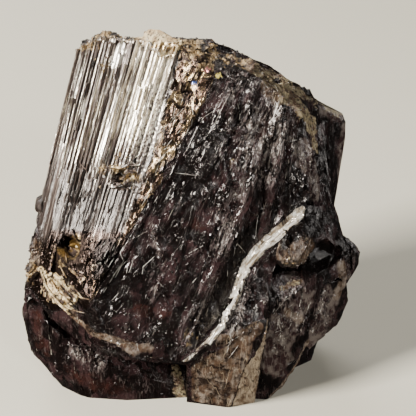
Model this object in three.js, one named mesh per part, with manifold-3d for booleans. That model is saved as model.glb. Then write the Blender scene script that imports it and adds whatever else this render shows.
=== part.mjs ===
// An axinite specimen: a wedge-shaped striated crystal with smaller ones grown into it, one solid.
// Units are millimetres. +Z is up and -Y is the show side. The specimen stands on its flat base.
import * as THREE from "three";
import { ConvexGeometry } from "three/addons/geometries/ConvexGeometry.js";
import { mergeVertices } from "three/addons/utils/BufferGeometryUtils.js";
import Module from "manifold-3d";

const wasm = await Module();
wasm.setup();

// ---- driving dimensions -------------------------------------------------------------------------
const BASE_CUT_HEIGHT = 0; // the specimen stands on this plane
const ROOT = 0.45; // how deep raised details are sunk into the face they stand on
const STRIAE_ACROSS_EDGE_STRIP = 6;
const STRIAE_ACROSS_MAIN_STRIP = 19;
const STRIA_RISE_UPPER = [0.14, 0.46]; // lowest and highest rise above the cross break
const STRIA_RISE_LOWER = [0.08, 0.24]; // the same below the cross break
const SIMPLIFY = 0.004; // corners closer than this to a straight edge are dropped

// ---- helpers: vectors and seeded numbers --------------------------------------------------------
const vec = (p) => new THREE.Vector3(...p);
const mix = (a, b, t) => vec(a).lerp(vec(b), t).toArray();
const moved = (p, direction, distance) => vec(p).addScaledVector(direction, distance).toArray();

// Numbers from 0 to 1 that are the same on every run.
function seeded(seed) {
  let state = seed >>> 0;
  return () => {
    state = (state + 0x6d2b79f5) >>> 0;
    let t = Math.imul(state ^ (state >>> 15), 1 | state);
    t = (t + Math.imul(t ^ (t >>> 7), 61 | t)) ^ t;
    return ((t ^ (t >>> 14)) >>> 0) / 4294967296;
  };
}

const between = (random, [low, high]) => low + (high - low) * random();

// ---- helpers: solids ----------------------------------------------------------------------------
function solidOf(geometry) {
  const bare = new THREE.BufferGeometry();
  bare.setAttribute("position", geometry.getAttribute("position"));
  if (geometry.index) bare.setIndex(geometry.index);
  const merged = mergeVertices(bare, 1e-5);
  return new wasm.Manifold(
    new wasm.Mesh({
      numProp: 3,
      vertProperties: merged.attributes.position.array,
      triVerts: new Uint32Array(merged.index.array),
    }),
  );
}

// A flat-faced crystal: the convex solid with these corners.
const crystal = (corners) => solidOf(new ConvexGeometry(corners.map(vec)));

const joined = (solids) => wasm.Manifold.union(solids);

// Only the outer skin: sealed pockets left between overlapping crystals are filled.
function withoutPockets(solid) {
  return solid.decompose().reduce((a, b) => (b.volume() > a.volume() ? b : a));
}

// A rough lump: the convex solid through random points of an ellipsoid.
function lump(centre, radii, seed, count = 13) {
  const random = seeded(seed);
  const corners = [];
  for (let i = 0; i < count; i++) {
    const height = 1 - (2 * (i + 0.5)) / count;
    const around = i * 2.4 + random() * 0.9;
    const reach = Math.sqrt(1 - height * height);
    const scale = 0.82 + 0.18 * random();
    corners.push([
      centre[0] + radii[0] * scale * reach * Math.cos(around),
      centre[1] + radii[1] * scale * reach * Math.sin(around),
      centre[2] + radii[2] * scale * height,
    ]);
  }
  return crystal(corners);
}

// Small lumps scattered along a line, each half sunk. Shape stretches them along x, y and z.
function crumbs(line, { count, size, spread, seed, shape = [1, 1, 1] }) {
  const random = seeded(seed);
  const solids = [];
  for (let i = 0; i < count; i++) {
    const along = ((i + random()) / count) * (line.length - 1);
    const segment = Math.min(Math.floor(along), line.length - 2);
    const middle = mix(line[segment], line[segment + 1], along - segment);
    const centre = middle.map((value) => value + (random() - 0.5) * 2 * spread);
    const radius = between(random, size);
    const radii = shape.map((stretch) => radius * stretch * (0.8 + 0.4 * random()));
    solids.push(lump(centre, radii, seed + i * 7 + 1, 10));
  }
  return solids;
}

// ---- helpers: details that stand on a flat face -------------------------------------------------
// A frame on a flat face turns [across, up] and a lift in millimetres into a point in space.
function faceFrame(origin, upward, outward) {
  const out = vec(outward).normalize();
  const up = vec(upward).projectOnPlane(out).normalize();
  const across = new THREE.Vector3().crossVectors(up, out);
  return ([a, u], lift = 0) =>
    vec(origin)
      .addScaledVector(across, a)
      .addScaledVector(up, u)
      .addScaledVector(out, lift)
      .toArray();
}

// A plate that covers an outline on a face. Every outline point is [across, up, lift].
function plate(place, outline) {
  const corners = outline.flatMap(([a, u, lift]) => [place([a, u], lift), place([a, u], -ROOT)]);
  return crystal(corners);
}

// A ridge along a line on a face. Every point is [across, up, lift of the crest, width].
function ridge(place, line, crestShare = 0.35) {
  const sections = line.map(([a, u, lift, width], i) => {
    const before = line[Math.max(i - 1, 0)];
    const after = line[Math.min(i + 1, line.length - 1)];
    const heading = new THREE.Vector2(after[0] - before[0], after[1] - before[1]).normalize();
    const at = (share, height) => {
      const offset = (share * width) / 2;
      return place([a - heading.y * offset, u + heading.x * offset], height);
    };
    return [at(1, -ROOT), at(-1, -ROOT), at(crestShare, lift), at(-crestShare, lift)];
  });
  const solids = [];
  for (let i = 0; i + 1 < sections.length; i++) {
    solids.push(crystal([...sections[i], ...sections[i + 1]]));
  }
  return joined(solids);
}

// Broken scales over a four-cornered patch of a face. Corners are [across, up]. Each scale is long
// along the grain (an angle from across), flush on one long side and proud on the other.
function scales(place, [a, b, c, d], { count, size, lift, seed, grain = 1.3, stretch = 2 }) {
  const random = seeded(seed);
  const flat = ([x, y]) => [x, y, 0];
  const solids = [];
  for (let i = 0; i < count; i++) {
    const along = (i + random()) / count;
    const [x, y] = mix(mix(flat(a), flat(b), along), mix(flat(d), flat(c), along), random());
    const half = between(random, size);
    const rise = between(random, lift);
    const angle = grain + 0.35 * (random() - 0.5);
    const proudSide = random() < 0.75 ? -1 : 1;
    const corners = [0, 1, 2, 3, 4, 5].flatMap((k) => {
      const turn = ((k + 0.6 * random()) * Math.PI) / 3;
      const reach = half * (0.75 + 0.4 * random());
      const long = reach * stretch * Math.cos(turn);
      const wide = reach * Math.sin(turn);
      const dx = long * Math.cos(angle) - wide * Math.sin(angle);
      const dy = long * Math.sin(angle) + wide * Math.cos(angle);
      const crest = rise * (0.3 + 0.7 * proudSide * Math.sin(turn));
      return [place([x + dx, y + dy], -ROOT), place([x + 0.86 * dx, y + 0.86 * dy], crest)];
    });
    solids.push(crystal(corners));
  }
  return solids;
}

// Side by side bars on a face, from a line of starting points, all in the same direction.
function bars(place, { from, to, heading, length, width, rise, count, seed }) {
  const random = seeded(seed);
  const solids = [];
  for (let i = 0; i < count; i++) {
    const share = (i + 0.5 + 0.4 * (random() - 0.5)) / count;
    const start = [from[0] + (to[0] - from[0]) * share, from[1] + (to[1] - from[1]) * share];
    const reach = between(random, length);
    const end = [start[0] + heading[0] * reach, start[1] + heading[1] * reach];
    const crest = between(random, rise);
    const broad = between(random, width);
    solids.push(ridge(place, [[...start, crest, broad], [...end, crest * 0.5, broad]], 0.6));
  }
  return solids;
}

// A slender prism between two points, with a blunt tip at the second.
function needle(root, tip, thickness) {
  const axis = vec(tip).sub(vec(root)).normalize();
  const side = new THREE.Vector3(axis.z, 0, -axis.x).normalize();
  const other = new THREE.Vector3().crossVectors(axis, side);
  const ring = (centre, radius) =>
    [0, 1, 2, 3, 4].map((i) => {
      const turn = (i * Math.PI * 2) / 5;
      return vec(centre)
        .addScaledVector(side, Math.cos(turn) * radius)
        .addScaledVector(other, Math.sin(turn) * radius)
        .toArray();
    });
  return crystal([...ring(root, thickness * 0.5), ...ring(tip, thickness * 0.28)]);
}

// ---- the main crystal ---------------------------------------------------------------------------
// Its show side is a striated face on the left and a dark face on the right, which meet in one
// sharp edge that leans from the top to the lower left.
const EDGE_TOP = [1.9, 0.0, 26.8];
const EDGE_FOOT = [-7.9, -7.3, 11.1];
const RIM_LEFT = [-9.3, 6.0, 27.5];
const RIM_CREASE = [-7.5, 5.7, 28.5];
const RIM_RIGHT = [-0.7, 2.4, 29.2];
const CREASE_FOOT = [-11.4, -2.4, 14.9];
const LEFT_FOOT = [-12.8, 0.2, 15.0];
const STRIAE_RIGHT_FOOT = [-5.5, -5.0, 15.9];

function mainCrystal() {
  const striatedFace = [
    RIM_LEFT,
    RIM_CREASE,
    RIM_RIGHT,
    [-3.2, -2.3, 21.1],
    CREASE_FOOT,
    [-12.3, 1.1, 16.8],
    LEFT_FOOT,
    [-13.3, -1.6, 12.3],
    [-13.8, -2.9, 9.6],
  ];
  const topRim = [
    [-5.8, 5.2, 28.4],
    [0.8, 4.1, 29.0],
    [3.2, 4.1, 28.2],
    [6.0, 3.9, 26.9],
    [8.9, 3.8, 25.0],
    [10.5, 4.2, 23.5],
  ];
  const darkFace = [
    EDGE_TOP,
    EDGE_FOOT,
    [5.5, 0.5, 26.8],
    [8.8, 0.7, 24.1],
    [9.7, 0.0, 21.0],
    [9.3, -1.7, 16.8],
    [-0.5, -7.4, 5.6],
  ];
  const overhangingRim = [
    [-3.3, -7.9, 6.4],
    [-5.8, -7.7, 7.2],
    [-7.3, -7.4, 7.7],
    [-9.3, -6.5, 8.3],
    [-11.5, -5.1, 8.9],
    [-0.5, -7.2, 5.0],
    [-3.3, -7.5, 5.6],
    [-5.3, -7.4, 5.7],
    [-7.4, -7.0, 6.1],
    [-9.0, -6.3, 6.8],
    [-10.7, -5.3, 7.5],
  ];
  const rear = [
    [-8.5, 8.0, 26.0],
    [-11.5, 7.0, 14.0],
    [-12.0, 4.5, 8.0],
    [-2.5, 9.2, 25.0],
    [-1.5, 9.4, 13.0],
    [2.0, 8.5, 26.5],
    [9.0, 7.2, 21.0],
    [10.0, 6.0, 12.0],
    [7.0, 6.0, 3.0],
    [-7.0, 6.0, 3.0],
    [-8.0, -1.5, 5.5],
    [3.0, -2.0, 2.5],
    [9.0, -0.6, 6.0],
  ];
  return crystal([...striatedFace, ...topRim, ...darkFace, ...overhangingRim, ...rear]);
}

// ---- striae: long bars side by side down the striated face --------------------------------------
const EDGE_STRIP = { rim: [RIM_LEFT, RIM_CREASE], foot: [LEFT_FOOT, CREASE_FOOT] };
const MAIN_STRIP = { rim: [RIM_CREASE, RIM_RIGHT], foot: [CREASE_FOOT, STRIAE_RIGHT_FOOT] };

// One bar on a strip: across and down run from 0 to 1, width is a share of the strip's width. The
// rises are the heights of its upper and lower ends.
function stria(strip, across, width, [from, to], [upperRise, lowerRise]) {
  const point = (a, t) => mix(mix(...strip.rim, a), mix(...strip.foot, a), t);
  const sideways = vec(strip.rim[1]).sub(vec(strip.rim[0]));
  const downward = vec(strip.foot[1]).sub(vec(strip.rim[1]));
  const out = new THREE.Vector3().crossVectors(downward, sideways).normalize();
  const section = (t, lift) => [
    moved(point(across - width / 2, t), out, -ROOT),
    moved(point(across + width / 2, t), out, -ROOT),
    moved(point(across - width * 0.3, t), out, lift),
    moved(point(across + width * 0.3, t), out, lift),
  ];
  return crystal([...section(from, upperRise), ...section(to, lowerRise)]);
}

function striaeOn(strip, count, seed, lowerEnd) {
  const random = seeded(seed);
  const solids = [];
  for (let i = 0; i < count; i++) {
    const across = (i + 0.5 + (random() - 0.5) * 0.35) / count;
    const width = between(random, [0.55, 1.15]) / count;
    const top = random() * 0.03;
    const crossBreak = 0.68 + 0.05 * Math.sin(i * 1.9) + 0.03 * random();
    const rise = between(random, STRIA_RISE_UPPER);
    solids.push(stria(strip, across, width, [top, crossBreak], [rise, rise * 0.7]));
    if (random() < 0.45) {
      const piece = between(random, [0.08, 0.4]);
      const reach = [piece, piece + between(random, [0.1, 0.25])];
      const proud = STRIA_RISE_UPPER[1] + 0.1;
      solids.push(stria(strip, across, width * 0.7, reach, [proud, proud * 0.7]));
    }
    const end = lowerEnd(across) - 0.2 * random();
    solids.push(stria(strip, across, width, [crossBreak, end], [between(random, STRIA_RISE_LOWER), -0.04]));
  }
  return solids;
}

function striae() {
  return joined([
    ...striaeOn(EDGE_STRIP, STRIAE_ACROSS_EDGE_STRIP, 11, () => 1.12),
    ...striaeOn(MAIN_STRIP, STRIAE_ACROSS_MAIN_STRIP, 23, (across) => 1.26 - 0.14 * across),
  ]);
}

// ---- broken growths along the top rim -----------------------------------------------------------
function topRimGrowths() {
  const tanKnob = crystal([
    [-8.2, 6.4, 28.2],
    [-7.5, 6.8, 28.5],
    [-6.9, 6.6, 28.7],
    [-6.2, 6.3, 28.7],
    [-5.6, 5.6, 28.4],
    [-6.9, 4.8, 28.2],
    [-7.9, 5.0, 27.4],
    [-8.1, 8.4, 27.4],
    [-6.3, 8.2, 27.8],
    [-7.2, 5.5, 26.5],
  ]);
  const cornerChip = crystal([
    [-9.1, 6.2, 27.7],
    [-8.6, 6.4, 28.1],
    [-8.0, 6.0, 28.1],
    [-8.4, 5.2, 27.4],
    [-9.2, 5.4, 26.8],
    [-8.7, 8.0, 26.9],
    [-8.0, 7.6, 27.2],
  ]);
  const paleFlake = crystal([
    [-3.9, 5.0, 29.0],
    [-3.5, 5.1, 29.4],
    [-2.5, 4.5, 29.6],
    [-1.8, 3.8, 29.4],
    [-1.1, 3.2, 29.2],
    [-1.4, 1.9, 28.5],
    [-2.4, 2.0, 28.2],
    [-3.2, 2.9, 28.5],
    [-3.8, 3.8, 28.7],
    [-3.4, 7.4, 28.3],
    [-1.6, 6.4, 28.2],
    [-2.4, 4.0, 27.0],
  ]);
  const flakeCrack = crystal([
    [-3.5, 3.9, 29.6],
    [-3.2, 3.7, 29.6],
    [-2.2, 1.7, 28.9],
    [-2.3, 1.9, 28.4],
    [-3.3, 3.6, 28.6],
    [-3.0, 2.4, 28.6],
  ]);
  return joined([tanKnob, cornerChip, paleFlake.subtract(flakeCrack)]);
}

// ---- the mottled bevel between the striated face and the sharp edge, and the top band -----------
const onBevel = faceFrame([-3.1, -4.0, 18.2], [0.2, 0.5, 0.85], [-0.26, -0.81, 0.53]);

function bevelCrusts() {
  const bevelPatch = [
    [0.0, 2.4],
    [0.2, 12.2],
    [2.9, 9.8],
    [0.5, 1.2],
  ];
  const topBand = [
    [0.6, 3.2, 28.6],
    [3.0, 2.4, 27.8],
    [5.2, 2.4, 26.8],
    [7.8, 2.2, 25.4],
  ];
  return joined([
    ...scales(onBevel, bevelPatch, { count: 17, size: [0.4, 0.8], lift: [0.16, 0.42], seed: 301 }),
    ...crumbs(topBand, { count: 11, size: [0.6, 0.9], spread: 0.4, seed: 402, shape: [1.6, 1.3, 0.45] }),
  ]);
}

function oliveCrust() {
  const line = [
    [8.6, 3.1, 24.6],
    [9.6, 4.6, 24.0],
    [9.9, 3.6, 23.2],
    [9.3, 1.6, 22.9],
  ];
  return joined(crumbs(line, { count: 9, size: [0.55, 0.85], spread: 0.25, seed: 77 }));
}

// ---- the dark face ------------------------------------------------------------------------------
const onDarkFace = faceFrame(EDGE_FOOT, [0, 0, 1], [0.201, -0.932, 0.301]);

// Growth plates: each lies flush on its left and ends in a step on its right.
function growthPlates() {
  const lowerLeft = plate(onDarkFace, [
    [14.7, 11.6, 0.35],
    [14.2, 9.7, 0.45],
    [13.6, 7.3, 0.5],
    [12.7, 4.9, 0.5],
    [11.4, 3.0, 0.5],
    [9.9, 0.7, 0.5],
    [8.8, -1.3, 0.45],
    [7.8, -2.8, 0.4],
    [7.2, -4.4, 0.3],
    [11.0, 13.6, 0.0],
    [7.4, 8.6, 0.0],
    [4.4, 3.0, 0.0],
    [4.2, -3.0, 0.0],
  ]);
  const upperRight = plate(onDarkFace, [
    [16.7, 13.1, 0.3],
    [16.4, 10.7, 0.45],
    [15.9, 8.7, 0.45],
    [15.2, 6.7, 0.4],
    [14.6, 4.7, 0.25],
    [14.4, 6.0, 0.1],
    [14.6, 12.8, 0.1],
  ]);
  const upperLeft = plate(onDarkFace, [
    [13.2, 15.6, 0.25],
    [12.2, 13.2, 0.4],
    [11.2, 11.0, 0.4],
    [9.6, 8.6, 0.25],
    [9.8, 13.6, 0.05],
    [8.0, 10.6, 0.0],
    [11.6, 15.9, 0.1],
  ]);
  return joined([lowerLeft, upperRight, upperLeft]);
}

function darkFaceRidges() {
  const longRidge = ridge(onDarkFace, [
    [14.4, 11.9, 0.45, 1.5],
    [13.8, 9.8, 0.72, 1.5],
    [13.2, 7.4, 0.8, 1.4],
    [12.2, 5.0, 0.82, 1.4],
    [11.0, 3.1, 0.78, 1.2],
    [9.5, 0.9, 0.78, 1.1],
    [8.4, -1.1, 0.7, 1.0],
    [7.4, -2.6, 0.62, 0.9],
    [6.9, -4.2, 0.4, 0.8],
  ]);
  const shortRidge = ridge(onDarkFace, [
    [11.2, 11.0, 0.45, 0.5],
    [11.5, 8.6, 0.62, 0.7],
    [11.3, 6.0, 0.5, 0.5],
  ]);
  const rightRidge = ridge(onDarkFace, [
    [16.4, 12.9, 0.5, 0.8],
    [16.1, 10.7, 0.7, 0.8],
    [15.6, 8.7, 0.72, 0.8],
    [14.9, 6.7, 0.6, 0.7],
    [14.4, 4.9, 0.35, 0.5],
  ]);
  const crossRidge = ridge(onDarkFace, [
    [12.6, 14.8, 0.4, 0.5],
    [12.0, 12.9, 0.6, 0.6],
    [13.4, 12.4, 0.5, 0.7],
  ]);
  const lowRidge = ridge(onDarkFace, [
    [9.0, 7.4, 0.2, 0.4],
    [8.0, 4.6, 0.3, 0.6],
    [7.0, 1.6, 0.3, 0.6],
    [6.6, -1.0, 0.22, 0.4],
  ]);
  return joined([longRidge, shortRidge, rightRidge, crossRidge, lowRidge]);
}

// Low broken scales that roughen the dark face, above and below the growth steps.
function darkFaceScales() {
  const left = [
    [3.4, -2.4],
    [7.6, 9.0],
    [10.2, 8.4],
    [7.2, -3.0],
  ];
  const upper = [
    [11.4, 12.8],
    [12.2, 15.4],
    [17.4, 13.6],
    [17.0, 9.6],
  ];
  const right = [
    [11.6, 2.2],
    [14.6, 8.6],
    [17.6, 9.0],
    [17.2, 6.6],
  ];
  return joined([
    ...scales(onDarkFace, left, { count: 10, size: [0.5, 0.95], lift: [0.15, 0.35], seed: 901 }),
    ...scales(onDarkFace, upper, { count: 9, size: [0.4, 0.7], lift: [0.35, 0.65], seed: 917 }),
    ...scales(onDarkFace, right, { count: 7, size: [0.35, 0.6], lift: [0.2, 0.45], seed: 933 }),
  ]);
}

function darkFaceSmallPits() {
  const diamond = [
    [11.9, 3.75],
    [12.2, 3.35],
    [11.8, 2.95],
    [11.5, 3.35],
  ];
  const pits = [
    crystal(diamond.flatMap((p) => [onDarkFace(p, 1.2), onDarkFace(p, 0.0)])),
    lump(onDarkFace([9.6, 3.4], 0.35), [0.3, 0.35, 0.2], 91),
  ];
  return joined(pits);
}

function lipFlake() {
  return plate(onDarkFace, [
    [2.0, -3.6, 0.1],
    [5.2, -3.8, 0.3],
    [4.9, -4.5, 0.35],
    [3.8, -5.2, 0.3],
    [2.9, -4.8, 0.25],
  ]);
}

// ---- columns down the right side ----------------------------------------------------------------
function sideColumns() {
  const sides = [
    { top: [8.9, 1.3, 23.0], foot: [9.2, -1.2, 16.6], radius: 0.6 },
    { top: [9.7, 2.1, 22.9], foot: [10.0, -0.3, 15.2], radius: 0.65 },
    { top: [10.4, 3.1, 22.0], foot: [10.8, 0.6, 15.6], radius: 0.7 },
    { top: [10.8, 4.1, 21.6], foot: [11.2, 1.9, 14.4], radius: 0.75 },
  ];
  return joined(
    sides.map(({ top, foot, radius }, i) => {
      const section = (centre, slant) =>
        [0, 1, 2, 3, 4].map((k) => {
          const turn = i + (k * Math.PI * 2) / 5;
          const rise = slant * Math.sin(k * 2.1 + i);
          return [radius * Math.cos(turn), radius * Math.sin(turn), rise].map((v, axis) => v + centre[axis]);
        });
      return crystal([...section(top, 0.3), ...section(foot, 0.8)]);
    }),
  );
}

// ---- the lobe under the overhang ----------------------------------------------------------------
function lowerLobe() {
  const knobbly = crystal([
    [-14.1, -1.5, 7.5],
    [-14.4, -1.2, 6.6],
    [-14.1, -1.5, 4.8],
    [-13.9, -1.5, 2.7],
    [-13.0, -2.0, 2.3],
    [-11.3, -3.0, 1.1],
    [-11.8, -4.0, 4.9],
    [-11.8, -4.4, 7.2],
    [-13.0, -3.2, 6.8],
    [-12.5, -3.4, 8.6],
    [-13.2, 3.0, 8.0],
    [-12.6, 4.5, 2.0],
    [-11.0, 4.0, -0.3],
    [-11.2, -2.6, -0.3],
    [-9.0, 0.0, 8.0],
  ]);
  const smooth = crystal([
    [-11.8, -3.8, 6.2],
    [-10.7, -4.6, 5.8],
    [-8.8, -5.2, 4.9],
    [-6.6, -5.4, 3.6],
    [-3.5, -5.0, 1.6],
    [-0.3, -4.6, 0.7],
    [-11.2, -3.6, 1.5],
    [-9.7, -5.0, 3.5],
    [-7.2, -5.4, 2.1],
    [-8.8, -4.6, -0.3],
    [-5.2, -5.0, -0.3],
    [-0.3, -4.6, -0.3],
    [-9.5, -1.0, 6.6],
    [0.5, -1.0, 3.0],
    [0.5, 3.0, -0.3],
    [-9.0, 3.0, -0.3],
    [-10.0, 3.0, 6.0],
  ]);
  const saddle = crystal([
    [-12.9, -3.1, 7.4],
    [-12.1, -4.1, 7.4],
    [-11.2, -4.5, 6.5],
    [-9.8, -4.8, 5.4],
    [-9.4, -4.9, 3.2],
    [-10.4, -4.5, 2.4],
    [-9.2, -4.4, -0.3],
    [-11.0, -3.0, -0.3],
    [-12.1, -3.2, 2.0],
    [-12.7, -3.4, 4.6],
    [-10.0, 0.0, 6.0],
    [-9.5, 0.0, -0.3],
  ]);
  return joined([knobbly, smooth, saddle]);
}

// The rock-solid middle that the smaller crystals grow from.
function core() {
  return crystal([
    [-8.0, 6.5, -0.3],
    [8.0, 6.5, -0.3],
    [10.5, 1.0, -0.3],
    [6.0, -2.5, -0.3],
    [-2.0, -2.0, -0.3],
    [-9.0, 1.0, -0.3],
    [-8.0, 0.0, 9.0],
    [6.0, -2.6, 13.0],
    [9.5, -1.6, 12.0],
    [11.5, 1.0, 12.0],
    [11.2, 5.5, 12.0],
    [11.0, 5.0, 3.0],
    [11.6, 1.5, 4.0],
  ]);
}

// ---- the crystal that lies over the dark face, lower right --------------------------------------
// Its upper left side is a narrow bright bevel: it rises from a foot on the dark face to a crest.
const BEVEL_FOOT = [
  [-0.6, -7.7, 5.8],
  [0.7, -6.2, 6.7],
  [2.2, -5.4, 8.3],
  [3.3, -4.7, 9.7],
  [3.8, -4.1, 10.7],
  [4.2, -3.4, 12.1],
  [5.3, -2.6, 13.6],
  [7.0, -1.9, 15.1],
  [8.9, -1.4, 16.5],
];
const BEVEL_CREST = [
  [-0.5, -7.8, 5.7],
  [1.3, -7.9, 7.3],
  [2.8, -7.2, 8.9],
  [3.6, -6.3, 10.4],
  [4.1, -5.7, 11.6],
  [4.7, -5.0, 13.0],
  [5.9, -4.4, 14.2],
  [7.7, -3.7, 15.4],
  [9.1, -2.7, 16.5],
];
const BEVEL_LEE = [
  [0.5, -7.2, 5.2],
  [2.0, -7.6, 6.9],
  [4.2, -7.0, 8.6],
  [6.2, -6.2, 8.8],
  [6.2, -5.6, 10.4],
  [6.6, -4.8, 12.4],
  [7.2, -4.2, 13.3],
  [8.4, -3.4, 14.2],
  [9.6, -2.3, 15.6],
];

function overlyingCrystal() {
  const solids = [];
  for (let i = 0; i + 1 < BEVEL_CREST.length; i++) {
    const front = [BEVEL_FOOT, BEVEL_CREST, BEVEL_LEE].flatMap((line) => [line[i], line[i + 1]]);
    const roots = [BEVEL_FOOT, BEVEL_LEE].flatMap((line) => [line[i], line[i + 1]]);
    solids.push(crystal([...front, ...roots.map(([x, y, z]) => [x + 0.4, y + 2.5, z - 0.6])]));
  }
  return joined(solids);
}

// Broken scales on the lee side of the bevel.
function leeScales() {
  const onLee = faceFrame([5.6, -5.6, 10.6], [0.1, 0.3, 1], [0.32, -0.88, 0.34]);
  const patch = [
    [-3.0, -2.2],
    [-0.6, 2.6],
    [1.2, 3.0],
    [0.8, -1.4],
  ];
  return joined(scales(onLee, patch, { count: 7, size: [0.3, 0.6], lift: [0.15, 0.4], seed: 951 }));
}

// A round lump beside the bright bevel, with a hole in it.
function holedLump() {
  const shell = crystal([
    [8.2, -3.9, 16.1],
    [9.2, -3.2, 16.1],
    [9.8, -3.3, 14.9],
    [9.4, -4.3, 13.4],
    [8.6, -5.0, 12.9],
    [7.3, -5.2, 12.9],
    [6.7, -5.0, 13.6],
    [7.0, -4.8, 15.2],
    [7.5, -4.9, 15.9],
    [8.7, -4.6, 15.8],
    [9.2, -5.0, 14.7],
    [8.3, -5.8, 13.9],
    [7.3, -5.9, 14.1],
    [7.2, -5.6, 15.1],
    [7.5, -2.0, 13.5],
    [9.3, -1.5, 13.8],
    [9.0, -1.5, 15.6],
  ]);
  const hole = lump([7.9, -5.4, 15.4], [0.42, 1.1, 0.62], 19, 16);
  return shell.subtract(hole);
}

// The ledge below the lump, which falls to the crest of the dark prism.
function ledgeUnderLump() {
  return crystal([
    [6.0, -5.3, 8.8],
    [7.4, -5.0, 9.8],
    [8.9, -4.3, 10.5],
    [6.2, -4.5, 11.2],
    [7.3, -3.5, 11.7],
    [8.9, -3.1, 11.5],
    [9.5, -3.6, 10.8],
    [6.0, -2.0, 11.4],
    [9.2, -1.5, 11.6],
    [6.0, -2.0, 8.0],
    [9.2, -1.5, 8.0],
  ]);
}

// ---- the prisms at the lower right --------------------------------------------------------------
function brownPrism() {
  return crystal([
    [-0.4, -6.9, 5.0],
    [1.6, -7.6, 6.6],
    [4.0, -7.1, 8.6],
    [6.3, -6.0, 8.8],
    [5.9, -5.6, 4.6],
    [5.3, -5.3, -0.3],
    [3.1, -6.0, -0.3],
    [4.3, -7.0, 4.3],
    [5.7, -6.8, 6.6],
    [-0.4, -5.2, -0.3],
    [-0.3, -3.0, 6.0],
    [5.0, -3.0, 9.5],
    [5.0, -2.0, -0.3],
    [-0.3, -2.0, -0.3],
  ]);
}

function darkPrism() {
  return crystal([
    [6.3, -5.3, 8.9],
    [7.7, -4.7, 9.7],
    [8.9, -4.2, 10.2],
    [9.3, -4.4, 5.1],
    [9.9, -3.8, 5.0],
    [8.9, -4.0, 2.9],
    [7.8, -4.2, 1.0],
    [6.6, -4.4, -0.3],
    [9.1, -4.6, 4.6],
    [7.5, -4.9, 2.0],
    [6.2, -4.9, -0.3],
    [5.2, -4.8, -0.3],
    [6.0, -5.4, 5.1],
    [5.0, -1.0, 9.5],
    [5.0, -1.0, -0.3],
    [8.5, -1.0, 1.0],
    [9.5, -1.0, 9.0],
  ]);
}

function rightColumns() {
  const middle = crystal([
    [9.1, -4.1, 10.5],
    [10.9, -3.0, 10.0],
    [10.9, -3.2, 8.7],
    [11.3, -2.6, 4.9],
    [10.0, -3.3, 4.0],
    [9.3, -3.9, 5.2],
    [8.0, 0.0, 11.0],
    [11.0, 0.5, 10.5],
    [11.0, 0.5, 5.0],
    [8.0, 1.0, 3.0],
  ]);
  const outer = crystal([
    [10.9, -2.6, 10.2],
    [13.0, -1.2, 9.4],
    [13.3, -0.8, 7.3],
    [12.5, -0.8, 4.9],
    [11.3, -2.2, 4.8],
    [11.8, -1.9, 7.6],
    [10.0, 2.5, 10.5],
    [12.8, 2.0, 9.5],
    [12.4, 2.5, 5.0],
    [10.0, 2.5, 3.0],
  ]);
  return joined([middle, outer]);
}

// ---- the right side: a shoulder with a deep hollow in it, and the knob round the hollow ---------
function rightShoulder() {
  const shoulder = crystal([
    [9.2, -1.7, 16.8],
    [10.6, -0.6, 16.2],
    [12.0, 1.5, 15.2],
    [12.5, 0.7, 13.7],
    [12.8, -0.1, 12.8],
    [13.0, -0.6, 11.9],
    [12.9, -1.2, 10.2],
    [10.7, -3.4, 10.0],
    [9.2, -4.2, 10.4],
    [9.0, -3.6, 13.2],
    [9.6, -2.8, 14.8],
    [9.0, 4.0, 15.5],
    [12.6, 3.5, 11.5],
    [11.6, 4.0, 9.0],
    [8.0, 3.0, 10.0],
  ]);
  const knob = crystal([
    [13.0, 0.4, 12.7],
    [13.7, 0.3, 12.2],
    [14.3, 0.3, 11.4],
    [14.1, 0.0, 10.4],
    [13.6, -0.3, 9.5],
    [13.2, -0.8, 8.9],
    [12.6, -1.6, 9.6],
    [12.8, -0.9, 11.6],
    [12.8, 2.6, 11.8],
    [13.2, 2.6, 9.2],
    [12.0, 2.0, 8.5],
    [12.0, 2.0, 12.0],
  ]);
  const hollow = joined([
    lump([10.9, -2.8, 12.6], [1.75, 2.5, 1.55], 5, 22),
    lump([12.0, -2.2, 12.2], [1.1, 1.9, 1.1], 6, 16),
    lump([9.8, -3.6, 12.1], [1.0, 1.7, 0.8], 8, 16),
  ]);
  const groove = crystal([
    [13.3, -0.6, 12.2],
    [13.4, 0.1, 12.4],
    [13.6, -0.9, 10.6],
    [13.5, -0.2, 10.2],
    [13.2, -1.4, 9.9],
    [13.1, -0.3, 11.0],
  ]);
  return joined([shoulder, knob]).subtract(joined([hollow, groove]));
}

function backPlate() {
  return crystal([
    [10.2, 6.0, 23.1],
    [12.7, 5.4, 21.9],
    [13.0, 5.2, 21.2],
    [13.0, 5.0, 19.6],
    [12.6, 4.4, 16.8],
    [12.2, 3.6, 14.0],
    [11.2, 4.2, 20.9],
    [11.4, 3.6, 19.0],
    [11.3, 2.6, 15.0],
    [9.6, 3.6, 23.8],
    [9.0, 7.6, 22.6],
    [12.0, 8.0, 20.5],
    [11.5, 7.5, 14.0],
    [8.0, 4.0, 14.0],
  ]);
}

// ---- the lower left of the striated face: a pit, a spray of needles and a few bumps -------------
function leftEdgeBumps() {
  return joined([
    lump([-12.4, 0.8, 15.6], [0.75, 1.4, 1.0], 61),
    lump([-12.9, -0.7, 12.4], [0.9, 1.4, 1.2], 62),
    lump([-13.1, -2.2, 10.7], [0.8, 1.2, 1.1], 63),
    lump([-13.2, -2.6, 9.0], [0.95, 1.3, 0.9], 64),
  ]);
}

// The crust over the foot of the striated face.
const onFootCrust = faceFrame([-9.6, -5.4, 11.4], [0, 0, 1], [-0.6, -0.72, 0.36]);

function footCrust() {
  const patch = [
    [-2.6, -1.4],
    [2.2, -1.4],
    [1.6, 1.6],
    [-3.4, 1.8],
  ];
  return joined(scales(onFootCrust, patch, { count: 9, size: [0.3, 0.6], lift: [0.15, 0.35], seed: 515 }));
}

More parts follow.
